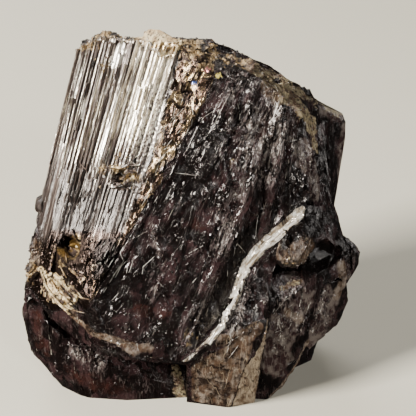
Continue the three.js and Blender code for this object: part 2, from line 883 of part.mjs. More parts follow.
function needleSpray() {
  const needles = [
    { root: [-12.2, -3.0, 11.8], tip: [-11.0, -5.0, 10.8], thickness: 0.42 },
    { root: [-11.0, -4.2, 11.8], tip: [-8.9, -6.7, 11.1], thickness: 0.4 },
    { root: [-11.4, -4.2, 11.0], tip: [-10.1, -6.0, 10.2], thickness: 0.85 },
    { root: [-11.3, -4.5, 10.7], tip: [-9.1, -6.8, 10.2], thickness: 0.6 },
    { root: [-11.8, -4.2, 10.3], tip: [-9.9, -6.4, 9.7], thickness: 0.62 },
    { root: [-10.6, -4.8, 11.4], tip: [-9.0, -6.8, 10.7], thickness: 0.36 },
    { root: [-12.5, -3.4, 10.7], tip: [-11.4, -5.1, 9.8], thickness: 0.5 },
  ];
  const grains = [
    [-12.9, -2.3, 11.9],
    [-13.1, -2.7, 11.2],
    [-11.9, -4.2, 10.4],
  ];
  return joined([
    ...needles.map(({ root, tip, thickness }) => needle(root, tip, thickness)),
    ...crumbs(grains, { count: 4, size: [0.4, 0.6], spread: 0.2, seed: 640 }),
  ]);
}

// The round pit at the foot of the striated face, the small one higher up, and their raised rims.
const onStriatedFace = faceFrame([-5.9, -2.1, 19.6], [0.25, 0.42, 0.87], [-0.412, -0.724, 0.552]);
const LARGE_PIT = [-10.0, -3.9, 14.2];
const SMALL_PIT = [-5.9, -2.4, 19.7];

function pitRims() {
  const smallRim = ridge(onStriatedFace, [
    [-1.7, 0.3, 0.2, 0.4],
    [-0.6, 0.6, 0.42, 0.5],
    [0.3, 0.7, 0.5, 0.6],
    [1.1, 1.2, 0.4, 0.5],
    [1.9, 1.3, 0.25, 0.3],
  ]);
  const smallRimFoot = ridge(onStriatedFace, [
    [1.5, 0.2, 0.4, 0.4],
    [1.0, -0.6, 0.5, 0.7],
    [0.1, -0.9, 0.42, 0.6],
    [-0.6, -0.7, 0.25, 0.4],
  ]);
  const swirl = ridge(onStriatedFace, [
    [0.9, 0.0, 0.55, 0.4],
    [1.2, 0.6, 0.6, 0.35],
    [1.7, 0.7, 0.5, 0.3],
  ]);
  const largeRim = ridge(onStriatedFace, [
    [-2.6, -5.0, 0.14, 0.4],
    [-2.0, -5.6, 0.2, 0.45],
    [-2.0, -6.5, 0.2, 0.5],
    [-2.6, -7.2, 0.14, 0.5],
  ]);
  return joined([smallRim, smallRimFoot, swirl, largeRim]);
}

function striatedFacePits() {
  return joined([
    lump(LARGE_PIT, [0.86, 1.5, 0.86], 12, 18),
    lump(SMALL_PIT, [0.36, 0.8, 0.3], 13, 14),
  ]);
}

function leftNotch() {
  return crystal([
    [-12.1, -0.3, 14.2],
    [-13.9, 0.3, 15.0],
    [-14.2, -1.4, 13.6],
    [-12.7, -2.6, 13.7],
    [-12.9, 3.4, 14.4],
    [-14.4, 3.4, 14.2],
  ]);
}

function belowTheBase() {
  return solidOf(new THREE.BoxGeometry(60, 60, 10).translate(0, 0, BASE_CUT_HEIGHT - 5));
}

// ---- the rear -----------------------------------------------------------------------------------
function rearCrystals() {
  const tabular = crystal([
    [1.5, 6.0, -0.3],
    [8.8, 4.6, -0.3],
    [11.0, 5.2, 8.5],
    [9.0, 8.2, 13.0],
    [3.6, 9.6, 12.0],
    [1.0, 9.4, 3.0],
    [6.0, 8.8, 0.6],
    [2.0, 4.0, 12.0],
  ]);
  const wedge = crystal([
    [-11.0, 3.4, -0.3],
    [-4.4, 7.2, -0.3],
    [-2.8, 8.8, 5.6],
    [-6.0, 9.0, 9.4],
    [-10.6, 7.0, 8.4],
    [-12.2, 4.6, 4.6],
    [-8.6, 8.0, 2.4],
    [-5.0, 3.0, 9.0],
  ]);
  return joined([tabular, wedge]);
}

// The rear of the main crystal: a striated face on one side, a stepped face on the other.
const onRearStriated = faceFrame([-1.9, 9.35, 19.0], [0, 0, 1], [-0.2, 0.98, -0.03]);
const onRearStepped = faceFrame([-1.9, 9.35, 19.0], [0, 0, 1], [0.18, 0.98, 0.03]);

function rearDetails() {
  const rearStriae = bars(onRearStriated, {
    from: [0.3, 5.3],
    to: [7.0, 5.8],
    heading: [0.22, -1],
    length: [6.5, 12.5],
    width: [0.35, 0.8],
    rise: [0.1, 0.34],
    count: 11,
    seed: 808,
  });
  const steps = [
    plate(onRearStepped, [
      [-1.2, 5.0, 0.05],
      [-4.6, 5.2, 0.4],
      [-7.0, 2.6, 0.5],
      [-6.4, -3.6, 0.45],
      [-3.0, -5.6, 0.3],
      [-1.0, -3.0, 0.05],
    ]),
    plate(onRearStepped, [
      [-3.2, 2.8, 0.45],
      [-6.2, 1.8, 0.8],
      [-5.8, -3.0, 0.75],
      [-3.4, -3.8, 0.5],
    ]),
    plate(onRearStepped, [
      [-7.6, 1.2, 0.1],
      [-10.2, -0.4, 0.5],
      [-9.8, -5.4, 0.45],
      [-7.8, -6.2, 0.2],
    ]),
  ];
  const scatterPatch = [
    [-1.5, -4.5],
    [-9.5, -5.0],
    [-10.0, 2.0],
    [-1.5, 5.5],
  ];
  const chips = { count: 10, size: [0.5, 0.9], lift: [0.3, 0.7], seed: 871 };
  return joined([...rearStriae, ...steps, ...scales(onRearStepped, scatterPatch, chips)]);
}

// ---- everything as one solid --------------------------------------------------------------------
const grown = joined([
  mainCrystal(),
  striae(),
  topRimGrowths(),
  bevelCrusts(),
  oliveCrust(),
  growthPlates(),
  darkFaceRidges(),
  darkFaceScales(),
  lipFlake(),
  sideColumns(),
  lowerLobe(),
  core(),
  overlyingCrystal(),
  leeScales(),
  ledgeUnderLump(),
  brownPrism(),
  darkPrism(),
  rightColumns(),
  rightShoulder(),
  holedLump(),
  backPlate(),
  leftEdgeBumps(),
  footCrust(),
  needleSpray(),
  pitRims(),
  rearCrystals(),
  rearDetails(),
]);
const hollows = joined([darkFaceSmallPits(), striatedFacePits(), leftNotch(), belowTheBase()]);
const body = withoutPockets(grown.subtract(hollows)).simplify(SIMPLIFY);

function meshOf(solid, name, material) {
  const { vertProperties, triVerts } = solid.getMesh();
  const geometry = new THREE.BufferGeometry();
  geometry.setAttribute("position", new THREE.BufferAttribute(vertProperties, 3));
  geometry.setIndex(new THREE.BufferAttribute(triVerts, 1));
  const flat = geometry.toNonIndexed();
  flat.computeVertexNormals();
  const mesh = new THREE.Mesh(flat, material);
  mesh.name = name;
  return mesh;
}

const axinite = new THREE.MeshStandardMaterial({ color: 0x3a2a28, roughness: 0.25, metalness: 0 });

const part = new THREE.Group();
part.name = "axinite_specimen";
part.add(meshOf(body, "axinite_crystal", axinite));

export default part;
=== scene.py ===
import math

import bpy
import numpy as np
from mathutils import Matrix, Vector
from mathutils.bvhtree import BVHTree


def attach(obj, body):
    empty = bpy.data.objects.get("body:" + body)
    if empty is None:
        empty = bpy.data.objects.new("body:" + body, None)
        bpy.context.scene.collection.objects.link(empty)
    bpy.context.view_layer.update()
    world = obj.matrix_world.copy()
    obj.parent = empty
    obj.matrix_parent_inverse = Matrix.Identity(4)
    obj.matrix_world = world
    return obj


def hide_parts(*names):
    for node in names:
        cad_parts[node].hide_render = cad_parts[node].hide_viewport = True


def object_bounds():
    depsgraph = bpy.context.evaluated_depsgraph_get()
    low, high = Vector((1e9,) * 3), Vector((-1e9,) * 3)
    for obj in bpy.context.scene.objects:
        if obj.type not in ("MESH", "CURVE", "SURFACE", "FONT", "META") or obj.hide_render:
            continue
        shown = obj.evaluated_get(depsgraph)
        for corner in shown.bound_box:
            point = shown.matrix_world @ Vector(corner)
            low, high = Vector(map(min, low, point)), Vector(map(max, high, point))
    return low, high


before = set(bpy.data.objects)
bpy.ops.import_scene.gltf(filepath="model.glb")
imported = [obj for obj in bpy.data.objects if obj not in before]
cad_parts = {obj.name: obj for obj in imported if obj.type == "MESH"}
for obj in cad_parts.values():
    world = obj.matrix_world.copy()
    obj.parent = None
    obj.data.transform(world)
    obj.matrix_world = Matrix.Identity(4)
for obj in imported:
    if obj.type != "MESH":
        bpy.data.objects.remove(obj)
CAD_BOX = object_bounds()

# Lengths in this script are millimetres, in the CAD part's frame, until a mesh, lamp or camera is made.
MM = 0.001
NODE = "axinite_crystal"

# ---- camera ----
CAMERA_TARGET = (1.4, 0.0, 15.7)
CAMERA_ELEVATION = math.radians(27)
CAMERA_DISTANCE = 105.0
LENS = 110.0
NEAREST_SEEN = 10.0
TOWARD_CAMERA = np.array([0.0, -math.cos(CAMERA_ELEVATION), math.sin(CAMERA_ELEVATION)])

# ---- how finely the surface is cut ----
# The longest edges of its triangles, by where they are.
FRONT_EDGE = 0.42
REAR_EDGE = 0.8
STRIA_EDGE_ACROSS = 0.17
STRIA_EDGE_ALONG = 1.2
FINE_EDGE = 0.19
WELD = 0.0005
# The surface is left as it is below the first height and has its full relief above the second.
RELIEF_STARTS, RELIEF_FULL = 0.02, 0.6
# The facets of each kind of surface: their depth, scale across, along and out of the grain, and seed.
# The plain ones lie along the axes and not the grain.
FACETS = {
    "dark": [(0.24, (0.5, 0.16, 0.5), 20), (0.1, (1.2, 0.5, 1.2), 40)],
    "bevel": [(0.18, (0.9, 0.45, 0.9), 60), (0.05, (2.2, 1, 2.2), 80)],
    "crumpled": [(0.2, (2, 0.8, 2), 200)],
    "plain": [(0.12, (0.9, 0.9, 0.6), 100), (0.05, (1.6, 1.6, 1.6), 120)],
}
SHARP_ANGLE = 28
SNAP_REACH = 1.2
SEED = 11

# ---- lights ----
LAMP_TARGET = (0, 0, 14)
# Each lamp's name, direction from the target, distance, size, power in watts and colour.
LAMPS = [
    ("key", (-0.738, -0.406, 0.535), 400, 100, 4.8, (1, 0.95, 0.86)),
    ("back", (-0.5, 1, 0.65), 450, 300, 1.6, (1, 0.97, 0.92)),
    ("sparkle", (0.4, -0.8, 0.5), 400, 36, 0.4, (1, 0.98, 0.95)),
    ("side", (1, -0.25, 0.3), 400, 150, 0.5, (1, 0.98, 0.95)),
]
ROOM_COLOUR = (1, 0.98, 0.94, 1)
ROOM_STRENGTH = 0.04
FLOOR_HALF = 900.0
FLOOR_COLOURS = (0.66, 0.63, 0.525), (0.7, 0.67, 0.565)


# ---- noise ----
def scattered(cells, seed):
    """A number from 0 to 1 for each whole-number cell, the same on every run."""
    x, y, z = (cells[..., axis].astype(np.int64) for axis in range(3))
    mixed = x * 374761393 + y * 668265263 + z * 1440662683 + seed * 974634777
    mixed = (mixed ^ (mixed >> 13)) * 1274126177
    mixed = mixed ^ (mixed >> 16)
    return (mixed & 0xFFFFFF) / 0xFFFFFF


def smooth_noise(points, seed):
    """Soft noise from 0 to 1, about one blob to a unit of length."""
    cell = np.floor(points)
    share = points - cell
    share = share * share * (3 - 2 * share)
    total = np.zeros(len(points))
    for corner in np.ndindex(2, 2, 2):
        weight = np.prod(np.where(corner, share, 1 - share), axis=1)
        total += weight * scattered(cell + corner, seed)
    return total


def rough_noise(points, seed):
    """Noise from 0 to 1 with two finer noises added to it."""
    total = np.zeros(len(points))
    reach = 0.0
    for octave in range(3):
        total += smooth_noise(points * 2**octave, seed + octave) / 2**octave
        reach += 1 / 2**octave
    return total / reach


def facets(points, seed):
    """Heights from -1 to 1 of flat tilted facets, about one to a unit of length."""
    cell = np.floor(points)
    nearest = np.full(len(points), np.inf)
    height = np.zeros(len(points))
    for step in np.ndindex(3, 3, 3):
        corner = cell + step - 1
        jitter = np.stack([scattered(corner, seed + axis) for axis in range(3)], axis=1)
        offset = points - corner - jitter
        distance = np.sum(offset * offset, axis=1)
        tilt = np.stack([scattered(corner, seed + 3 + axis) for axis in range(3)], axis=1) * 2 - 1
        level = scattered(corner, seed + 6) * 2 - 1
        found = distance < nearest
        nearest[found] = distance[found]
        height[found] = (0.45 * level + 0.8 * np.sum(offset * tilt, axis=1))[found]
    return np.clip(height, -1, 1)


def faceted(points, kind):
    """Heights of the facets of one kind of surface."""
    return sum(depth * facets(points * scale, seed) for depth, scale, seed in FACETS[kind])


def smooth_step(value, low, high):
    share = np.clip((value - low) / (high - low), 0, 1)
    return share * share * (3 - 2 * share)


# ---- faces ----
def unit(vector):
    vector = np.array(vector, float)
    return vector / np.linalg.norm(vector)


class Face:
    """A flat face of the crystal, with coordinates across, along and out of it."""

    def __init__(self, origin, grain, out):
        self.origin = np.array(origin, float)
        self.out = unit(out)
        grain = np.array(grain, float)
        self.along = unit(grain - self.out * (grain @ self.out))
        self.across = np.cross(self.along, self.out)
        self.axes = np.stack([self.across, self.along, self.out])

    def coordinates(self, points):
        return (points - self.origin) @ self.axes.T

    def at(self, across, along):
        return self.origin + np.array([across, along, 0.0]) @ self.axes

    def mask(self, points, soft=0.4, depth=1.2, ragged=0.0):
        """1 inside the corners and near the plane, falling to 0 over the distance soft. ragged is how
        far its outline strays."""
        flat = self.coordinates(points)
        distance = distance_outside(flat[:, :2], self.corners)
        if ragged:
            distance = distance + ragged * (2 * rough_noise(points * 0.9, 160) - 1)
        near = 1 - smooth_step(np.abs(flat[:, 2]), depth, depth * 1.5)
        return (1 - smooth_step(distance, -soft / 2, soft / 2)) * near


def face_through(corners, grain):
    """The face that fits corners in space best, with its out direction on the camera's side."""
    corners = np.array(corners, float)
    middle = corners.mean(axis=0)
    out = np.cross(corners - middle, np.roll(corners, -1, axis=0) - middle).sum(axis=0)
    out = out if out @ TOWARD_CAMERA > 0 else -out
    face = Face(middle, grain, out)
    face.corners = face.coordinates(corners)[:, :2]
    return face


def distance_outside(points, corners):
    """Distance from an outline in its plane, negative inside."""
    nearest = np.full(len(points), np.inf)
    inside = np.zeros(len(points), bool)
    for start, end in zip(corners, np.roll(corners, -1, axis=0)):
        run = end - start
        share = np.clip((points - start) @ run / (run @ run), 0, 1)
        nearest = np.minimum(nearest, np.linalg.norm(points - start - share[:, None] * run, axis=1))
        crosses = (start[1] > points[:, 1]) != (end[1] > points[:, 1])
        rise = run[1] if run[1] else 1e-9
        inside ^= crosses & (points[:, 0] < start[0] + run[0] * (points[:, 1] - start[1]) / rise)
    return np.where(inside, -nearest, nearest)


# Corners of the main crystal, as in the CAD part.
EDGE_TOP = (1.9, 0, 26.8)
EDGE_FOOT = (-7.9, -7.3, 11.1)
RIM_LEFT = (-9.3, 6, 27.5)
RIM_CREASE = (-7.5, 5.7, 28.5)
RIM_RIGHT = (-0.7, 2.4, 29.2)
RIM_END = (2, 1.5, 28.3)
MAIN_EDGE_MIDDLE = (-3.2, -2.3, 21.1)
CREASE_FOOT = (-11.4, -2.4, 14.9)
LEFT_FOOT = (-12.8, 0.2, 15)
STRIAE_LEFT_FOOT = (-12.2, -3.6, 12.9)
STRIAE_FOOT = (-7.2, -6.6, 12.6)
STRIAE_RIGHT_FOOT = (-5.5, -5, 15.9)
SMALL_PIT = (-5.9, -2.5, 19.7)
LARGE_PIT = (-9.9, -4.1, 14.2)
# Each pit's middle, radius and the depth that is added to it.
PITS = [(SMALL_PIT, 0.7, 0.6), (LARGE_PIT, 1.15, 0.6)]

# The foot and the crest of the narrow bright bevel that crosses the dark face, as in the CAD part.
BRIGHT_FOOT = [
    (-0.6, -7.7, 5.8), (0.7, -6.2, 6.7), (2.2, -5.4, 8.3), (3.3, -4.7, 9.7), (3.8, -4.1, 10.7),
    (4.2, -3.4, 12.1), (5.3, -2.6, 13.6), (7, -1.9, 15.1), (8.9, -1.4, 16.5),
]
BRIGHT_CREST = [
    (-0.5, -7.8, 5.7), (1.3, -7.9, 7.3), (2.8, -7.2, 8.9), (3.6, -6.3, 10.4), (4.1, -5.7, 11.6),
    (4.7, -5, 13), (5.9, -4.4, 14.2), (7.7, -3.7, 15.4), (9.1, -2.7, 16.5),
]

STRIAE_GRAIN = (0.28, 0.475, 0.834)
UPRIGHT = (0, 0, 1)
STRIAE_END = [STRIAE_RIGHT_FOOT, STRIAE_FOOT, STRIAE_LEFT_FOOT, CREASE_FOOT]
STRIATED = face_through([RIM_CREASE, RIM_RIGHT, MAIN_EDGE_MIDDLE, *STRIAE_END], STRIAE_GRAIN)
EDGE_STRIP_END = [CREASE_FOOT, STRIAE_LEFT_FOOT, LEFT_FOOT]
EDGE_STRIP = face_through([RIM_LEFT, RIM_CREASE, *EDGE_STRIP_END], (0.23, 0.44, 0.86))
FOOT = face_through(
    [CREASE_FOOT, STRIAE_RIGHT_FOOT, EDGE_FOOT, (-11.5, -5.1, 8.9), (-13.4, -2.8, 10)],
    STRIAE_GRAIN,
)
BEVEL = face_through(
    [RIM_RIGHT, RIM_END, EDGE_TOP, EDGE_FOOT, (-7.1, -5.6, 13.8), STRIAE_RIGHT_FOOT, MAIN_EDGE_MIDDLE],
    (0.35, 0.49, 0.8),
)
BEIGE_FACET = face_through(
    [(6.3, -6, 8.9), (5.9, -5.6, 4.6), (5.3, -5.3, 0), (3.4, -6, 0), (4.3, -7, 4.3), (5.7, -6.8, 6.8)],
    UPRIGHT,
)
BROWN_FACET = face_through(
    [(1.6, -7.6, 6.4), (5.3, -6.8, 8), (4.6, -7, 4.3), (3.3, -6, 0), (0, -6, 0), (0, -6.9, 4.6)],
    UPRIGHT,
)
# The same frame as the dark face's details in the CAD part.
DARK = Face(EDGE_FOOT, grain=UPRIGHT, out=(0.201, -0.932, 0.301))
DARK.corners = np.array(
    [
        (11.1, 16.6), (15.6, 16.6), (17.6, 13.6), (17.6, 6), (13.4, 1.2), (10.4, -2.8),
        (7, -6), (0.4, -4.4), (-0.2, -0.6), (2, 2.8), (5.3, 7.4), (9.5, 13.8),
    ]
)
# The dark face's grain runs towards one place above it. The reach is from there to the face's middle.
DARK_GRAIN_TOP = (23.3, 34)
DARK_GRAIN_REACH = 30.0


# ---- where coats of colour lie ----
# Each row is a reach and the points of a line, or one point. It covers what is nearer than its reach.
def on_dark(*pairs):
    """Places in space, from places across and along the dark face."""
    return [tuple(DARK.at(across, along)) for across, along in pairs]


LINES = {
    "film": [
        (1.5, *on_dark((13.6, 12.8), (13.2, 10.9), (12.4, 7.7), (11.6, 5.8), (10.6, 3))),
        (1.1, *on_dark((10.6, 3), (9.3, -0.1), (8.3, -2.5), (7.4, -4.5))),
        (0.9, *on_dark((12.1, 10.2), (11.5, 8), (11.2, 6.4))),
        (0.6, *on_dark((16.4, 10.7), (15.5, 7.9), (14.6, 5.6))),
        (0.8, *on_dark((13.4, 17), (12.4, 15.4), (11.9, 13.2), (10.6, 12.2))),
        (3.1, *on_dark((15.2, 13.2), (14.6, 9.6))),
        (0.9, *on_dark((16.6, 13.4), (17.2, 10.6))),
        (0.45, *on_dark((5.2, 5.7), (6.1, 1.9), (4.7, -0.4))),
        (1.6, (9.3, -0.2, 21), (9.9, -0.3, 17.5)),
        (1, (8.9, -4, 10.4), (7.2, -4.9, 9.8)),
        (1.3, (10.9, -2.9, 9.2), (11.2, -2.4, 6)),
        (0.9, (12.9, -1.4, 9.8), (13.6, -0.6, 12)),
        (1.4, (4.6, -6.2, 12), (3.4, -7, 8.4)),
        (1.3, (-9.4, -5, 4.8), (-7.6, -5.4, 4)),
        (1.3, (7.2, -4.9, 8.4), (7, -5.1, 5.2)),
        (1, (8.6, -4.2, 8.8), (9, -4.1, 6.6)),
        (1.1, (10.6, -3.2, 8), (10.3, -3.4, 6)),
    ],
    "tan": [
        (1.8, (-7.9, 5.4, 28.2), (-7, 6, 28.6), (-6.2, 6.4, 28.6)),
        (0.8, (-9, 5.6, 27.6), (-8.4, 5.4, 27.9)),
        (0.7, (-5.6, 4.6, 28.4), (-4.2, 4.2, 28.6)),
        (0.9, (-1.4, 2.2, 28.8), (-0.6, 2.6, 29)),
        (0.5, (-7.2, 1.5, 23.8)),
        (1.2, (-7, 3.7, 26.9)),
        (1.9, (-0.6, 2.8, 29), (2, 2.1, 28.3), (4.3, 2.2, 27.6)),
        (1.4, (-6.9, -1.4, 19.9), (-5.5, -2.2, 19.8), (-4.6, -2.5, 19.7)),
        (1.3, (-9.2, -3.6, 14.6), (-9.2, -4.2, 13.4), (-10.4, -4.2, 13)),
        (1.3, (-13.2, -2.9, 11.9), (-13.3, -2.9, 11)),
        (0.8, *on_dark((7.5, -2.4), (7.6, -4.2))),
        (0.7, (8.3, -5.2, 14.2), (7.5, -5.4, 13.6)),
    ],
    "olive": [
        (1.5, (7.2, 1, 25.2), (8.5, 1.1, 24.4), (9.4, 1.4, 23.4), (9.8, 1.4, 22.2)),
        (0.7, (9.9, 1, 21.6), (10.3, 1.2, 20.4)),
        (1.3, (5, 1.5, 27.2), (7, 1.4, 26), (8.6, 1.6, 24.9)),
        (0.8, *on_dark((12.1, 10.2), (11.3, 7.4))),
        (0.5, (9.2, -3.6, 10.9), (7.4, -4.4, 10.6)),
        (1, (-1.2, -3.5, 2.3), (-1.2, -4.4, 1.3), (-0.9, -4.7, 0.3)),
        (1.7, (4.6, 2.6, 27.6), (6.8, 2.6, 26.6), (9, 2.8, 25.2), (10.6, 3.4, 24)),
        (1.3, (11.4, 4.9, 22.9), (12.4, 5.2, 22.4)),
    ],
    "cream": [
        (2.4, (-3.6, 5, 29.2), (-2.6, 3.6, 29.4), (-1.6, 2.6, 28.9)),
        (0.5, (-12.2, -3, 11.8), (-11, -5, 10.8)),
        (0.5, (-11, -4.2, 11.8), (-8.9, -6.7, 11.1)),
        (0.9, (-11.4, -4.4, 11), (-9.6, -6.2, 10.2)),
        (0.6, (-11.8, -4.2, 10.3), (-9.9, -6.4, 9.7)),
        (0.6, (-9.2, -3.8, 13.8), (-9.1, -4, 14.6)),
        (0.7, (-5.2, -2.6, 19.5), (-4.7, -2.7, 19.9)),
    ],
    "red": [
        (2, (-10, -4.6, 2.4), (-6, -5, 1.2)),
        (1.3, (8, 0.2, 23.6), (8.3, -0.2, 22.6)),
        (1.6, *on_dark((9.2, 5.3))),
        (1.4, *on_dark((14.6, 13), (14.4, 12))),
        (1.2, *on_dark((5.6, -1.6), (3.6, -1.2))),
        (2.4, (-12.6, -3, 6.6), (-12.6, -2.8, 4)),
    ],
    # black: black glossy patches of the crystal, and painted shade in the two pits, the recess, the
    # grooves and gaps and under the lump.
    "black": [
        (1.7, (11.1, -1.2, 11.9), (10, -2.4, 11.6)),
        (1, (8, -2.6, 12.2), (6.9, -3.4, 12.2)),
        (1.2, (7.7, -4.6, 16.1), (8.2, -4.4, 15.4)),
        (1.5, (8.4, -1.4, 18.6), (8.2, -1.6, 17.2)),
        (1.3, (-6.3, -6, 13.4), (-5.9, -6.4, 11.4)),
        (1.2, *on_dark((12.9, 3.9), (11.2, 0.4), (9.4, -2.6))),
        (2.1, *on_dark((8, 8.4), (10.6, 12.4))),
        (1.2, (11.7, 3.8, 20.4), (11.4, 3, 15.4)),
        (2.1, (-6.6, -5, 14.4), (-6.1, -6, 12.6), (-5.9, -6.6, 11)),
        (2.2, (8.6, -3, 16.4), (10, -2, 15.6)),
        (1.15, (-5.95, -2.5, 19.65)),
        (1, (-10.4, -3.6, 14.5)),
    ],
    "amber": [(1.7, LARGE_PIT), (0.9, SMALL_PIT)],
    # plate: thin plates on the striae, painted white as a painted highlight where they mirror the key
    # lamp.
    "plate": [
        (0.95, (-5.5, 4.2, 28.2), (-6, 3.4, 26.9)),
        (0.45, (-8.3, 3.2, 24.8), (-8.9, 2, 22.4)),
        (0.28, (-6.8, 3, 25.3), (-7.3, 2.1, 23.8)),
        (0.42, (-6.6, 0.5, 22.9), (-7.1, -0.5, 20.9)),
    ],
    "haze": [
        (1.3, (13.2, 4.6, 20.8), (13, 4.4, 16.4)),
        (1.8, (11.2, 4.6, 23), (12.6, 5.4, 22.2)),
        (1.2, (12.6, -1.4, 11), (13.2, -1.2, 9.6)),
        (1.8, (9.3, -0.2, 21), (9.9, -0.3, 17.5)),
        (2.2, (8.2, -2.5, 10.4), (9, -3.8, 9)),
        (2.2, (7.4, -4.9, 7.4), (7.2, -5, 3.6)),
        (2.4, (11.2, -2.4, 8), (10.6, -3, 4)),
    ],
    # Small iridescent spots painted in bright yellow, rose and blue as painted glints.
    "yellow": [(0.7, (2.2, 0.5, 27.1)), (0.5, (-6.4, -4, 15.4))],
    "rose": [(0.7, (1.3, 0.8, 27.5)), (0.5, (-1.6, 0, 24.6))],
    "blue": [(0.8, (0.3, 0.4, 26.7))],
    # painted_shine: a diagonal band where more of the striae are painted silver, a painted highlight
    # where they mirror the key lamp most.
    "painted_shine": [(2.9, (-2.6, 2.3, 27.8), (-3.6, 0.9, 25.4), (-4.6, 0.2, 23.4))],
    "speckled": [
        (1.7, (-2.6, 0.8, 25.6), (-4, -1.4, 21.4), (-5, -3.2, 18.4), (-4.6, -4.7, 16.6)),
    ],
    # dim lowers the painted silver sheen of the striae towards the foot.
    "dim": [(7, (-12.8, -1, 15), (-9.8, -4, 14.8), (-6, -5.2, 15.4))],
}
PALE_BROWN_LINES = [
    (1, *on_dark((2.6, -4.2), (4.4, -4.3))),
    (0.8, (9.9, -3.9, 5), (8.9, -4.2, 2.9), (7.8, -4.4, 1), (7, -4.6, 0)),
    (0.7, (9, -4.4, 7.6), (8, -4.9, 8.6)),
    (1, (12.4, -1.4, 11.1), (12.8, -1.6, 9.6), (12.2, -1.9, 8.4)),
]
BROWN_LINES = [
    (0.7, (-9.5, -6.2, 9.3), (-7.3, -7.4, 7.9), (-4.8, -8, 7.3)),
    (2.4, (8.2, -5, 14.6), (9, -4, 14)),
    (1.6, (-12.6, -1.8, 13), (-12.9, -2.4, 10.6)),
    (1.6, (6.4, 0.6, 26.2), (8, 0.8, 25.2)),
    (1, (2.6, -7.4, 7.6), (5.4, -6.8, 8.2)),
    (0.9, (-7.4, -5.5, 13.2), (-7, -6.5, 10.8)),
]
# Where the striae give out above the foot and around the pits.
BARE_LINES = [
    (3.5, (-6.2, -5.8, 13.2), (-5.9, -6.6, 11.4)),
    (2.6, (-11.6, -3.8, 12.9), (-9, -4.6, 13.6), (-6, -5.2, 14.4)),
    (2.8, (-10.5, -4.8, 11.8), (-7.8, -6, 11.8)),
    (2, LARGE_PIT),
    (1, SMALL_PIT),
]
# Where the relief is weak and the crystal's faces stay flat.
CRISP_LINES = [(4, (12, 5.4, 22.4), (12.8, 4.8, 18.8), (12.4, 4.4, 14))]


def line_coordinates(points, line):
    """Distance from a line through some places, and how far along it the nearest place is."""
    line = np.array(line, float)
    nearest = np.linalg.norm(points - line[0], axis=1)
    reached = np.zeros(len(points))
    passed = 0.0
    for start, end in zip(line[:-1], line[1:]):
        run = end - start
        length = np.linalg.norm(run)
        share = np.clip((points - start) @ run / length**2, 0, 1)
        distance = np.linalg.norm(points - start - share[:, None] * run, axis=1)
        closer = distance < nearest
        nearest[closer] = distance[closer]
        reached[closer] = passed + share[closer] * length
        passed += length
    return nearest, reached


def near_lines(points, lines, ragged=0.3):
    """1 on some lines and points, falling to 0 at their reach. ragged is the share of the reach that the
    edge strays."""
    cover = np.zeros(len(points))
    strays = ragged * (2 * rough_noise(points * 1.3, 220) - 1)
    for reach, *line in lines:
        distance, _ = line_coordinates(points, line)
        cover = np.maximum(cover, 1 - smooth_step(distance + strays * reach, reach * 0.3, reach))
    return cover


def bright_bevel(points):
    """Cover of the narrow bevel between its foot and its crest, and coordinates across and along it."""
    foot, crest = np.array(BRIGHT_FOOT), np.array(BRIGHT_CREST)
    from_foot, reached = line_coordinates(points, foot)
    from_crest, _ = line_coordinates(points, crest)
    places = np.concatenate([[0], np.cumsum(np.linalg.norm(np.diff(foot, axis=0), axis=1))])
    width = np.interp(reached, places, np.linalg.norm(crest - foot, axis=1))
    beside = from_foot + from_crest - width
    share = from_foot / np.maximum(from_foot + from_crest, 1e-6)
    ragged = 0.5 * rough_noise(np.stack([reached * 1.6, from_foot * 0.7, from_foot], axis=1), 180)
    pointed = 0.35 * (1 - smooth_step(reached, 0.5, 7.0)) + ragged
    cover = (1 - smooth_step(beside, 0.05, 0.3)) * smooth_step(share, pointed - 0.1, pointed + 0.1)
    return cover, from_foot, reached


def striae_profile():
    """Places across the striated face and the depth of the surface at each."""
    half_span, narrowest, widest, depth = 12.0, 0.12, 0.55, 0.2
    random = np.random.default_rng(5)
    places = [-half_span]
    while places[-1] < half_span:
        places.append(places[-1] + random.uniform(narrowest, widest))
    levels = random.uniform(0, 1, len(places)) ** 1.5 * depth
    return np.array(places), levels


# ---- the crystal's surface ----
def node_surface(name):
    """The points in millimetres and triangles of a CAD node, with points at one place made one."""
    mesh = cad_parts[name].data
    mesh.calc_loop_triangles()
    points = np.zeros(len(mesh.vertices) * 3)
    mesh.vertices.foreach_get("co", points)
    triangles = np.zeros(len(mesh.loop_triangles) * 3, np.int64)
    mesh.loop_triangles.foreach_get("vertices", triangles)
    points = points.reshape(-1, 3) / MM
    _, first, merged = np.unique(np.round(points / WELD), axis=0, return_index=True, return_inverse=True)
    triangles = merged.reshape(-1)[triangles].reshape(-1, 3)
    whole = (triangles != np.roll(triangles, -1, axis=1)).all(axis=1)
    return points[first], triangles[whole]


def triangle_normals(points, triangles):
    a, b, c = (points[triangles[:, corner]] for corner in range(3))
    return np.cross(b - a, c - a)


def turned(rows, shift):
    """Each row of three rolled left by its own shift."""
    return np.take_along_axis(rows, (np.arange(3) + shift[:, None]) % 3, axis=1)


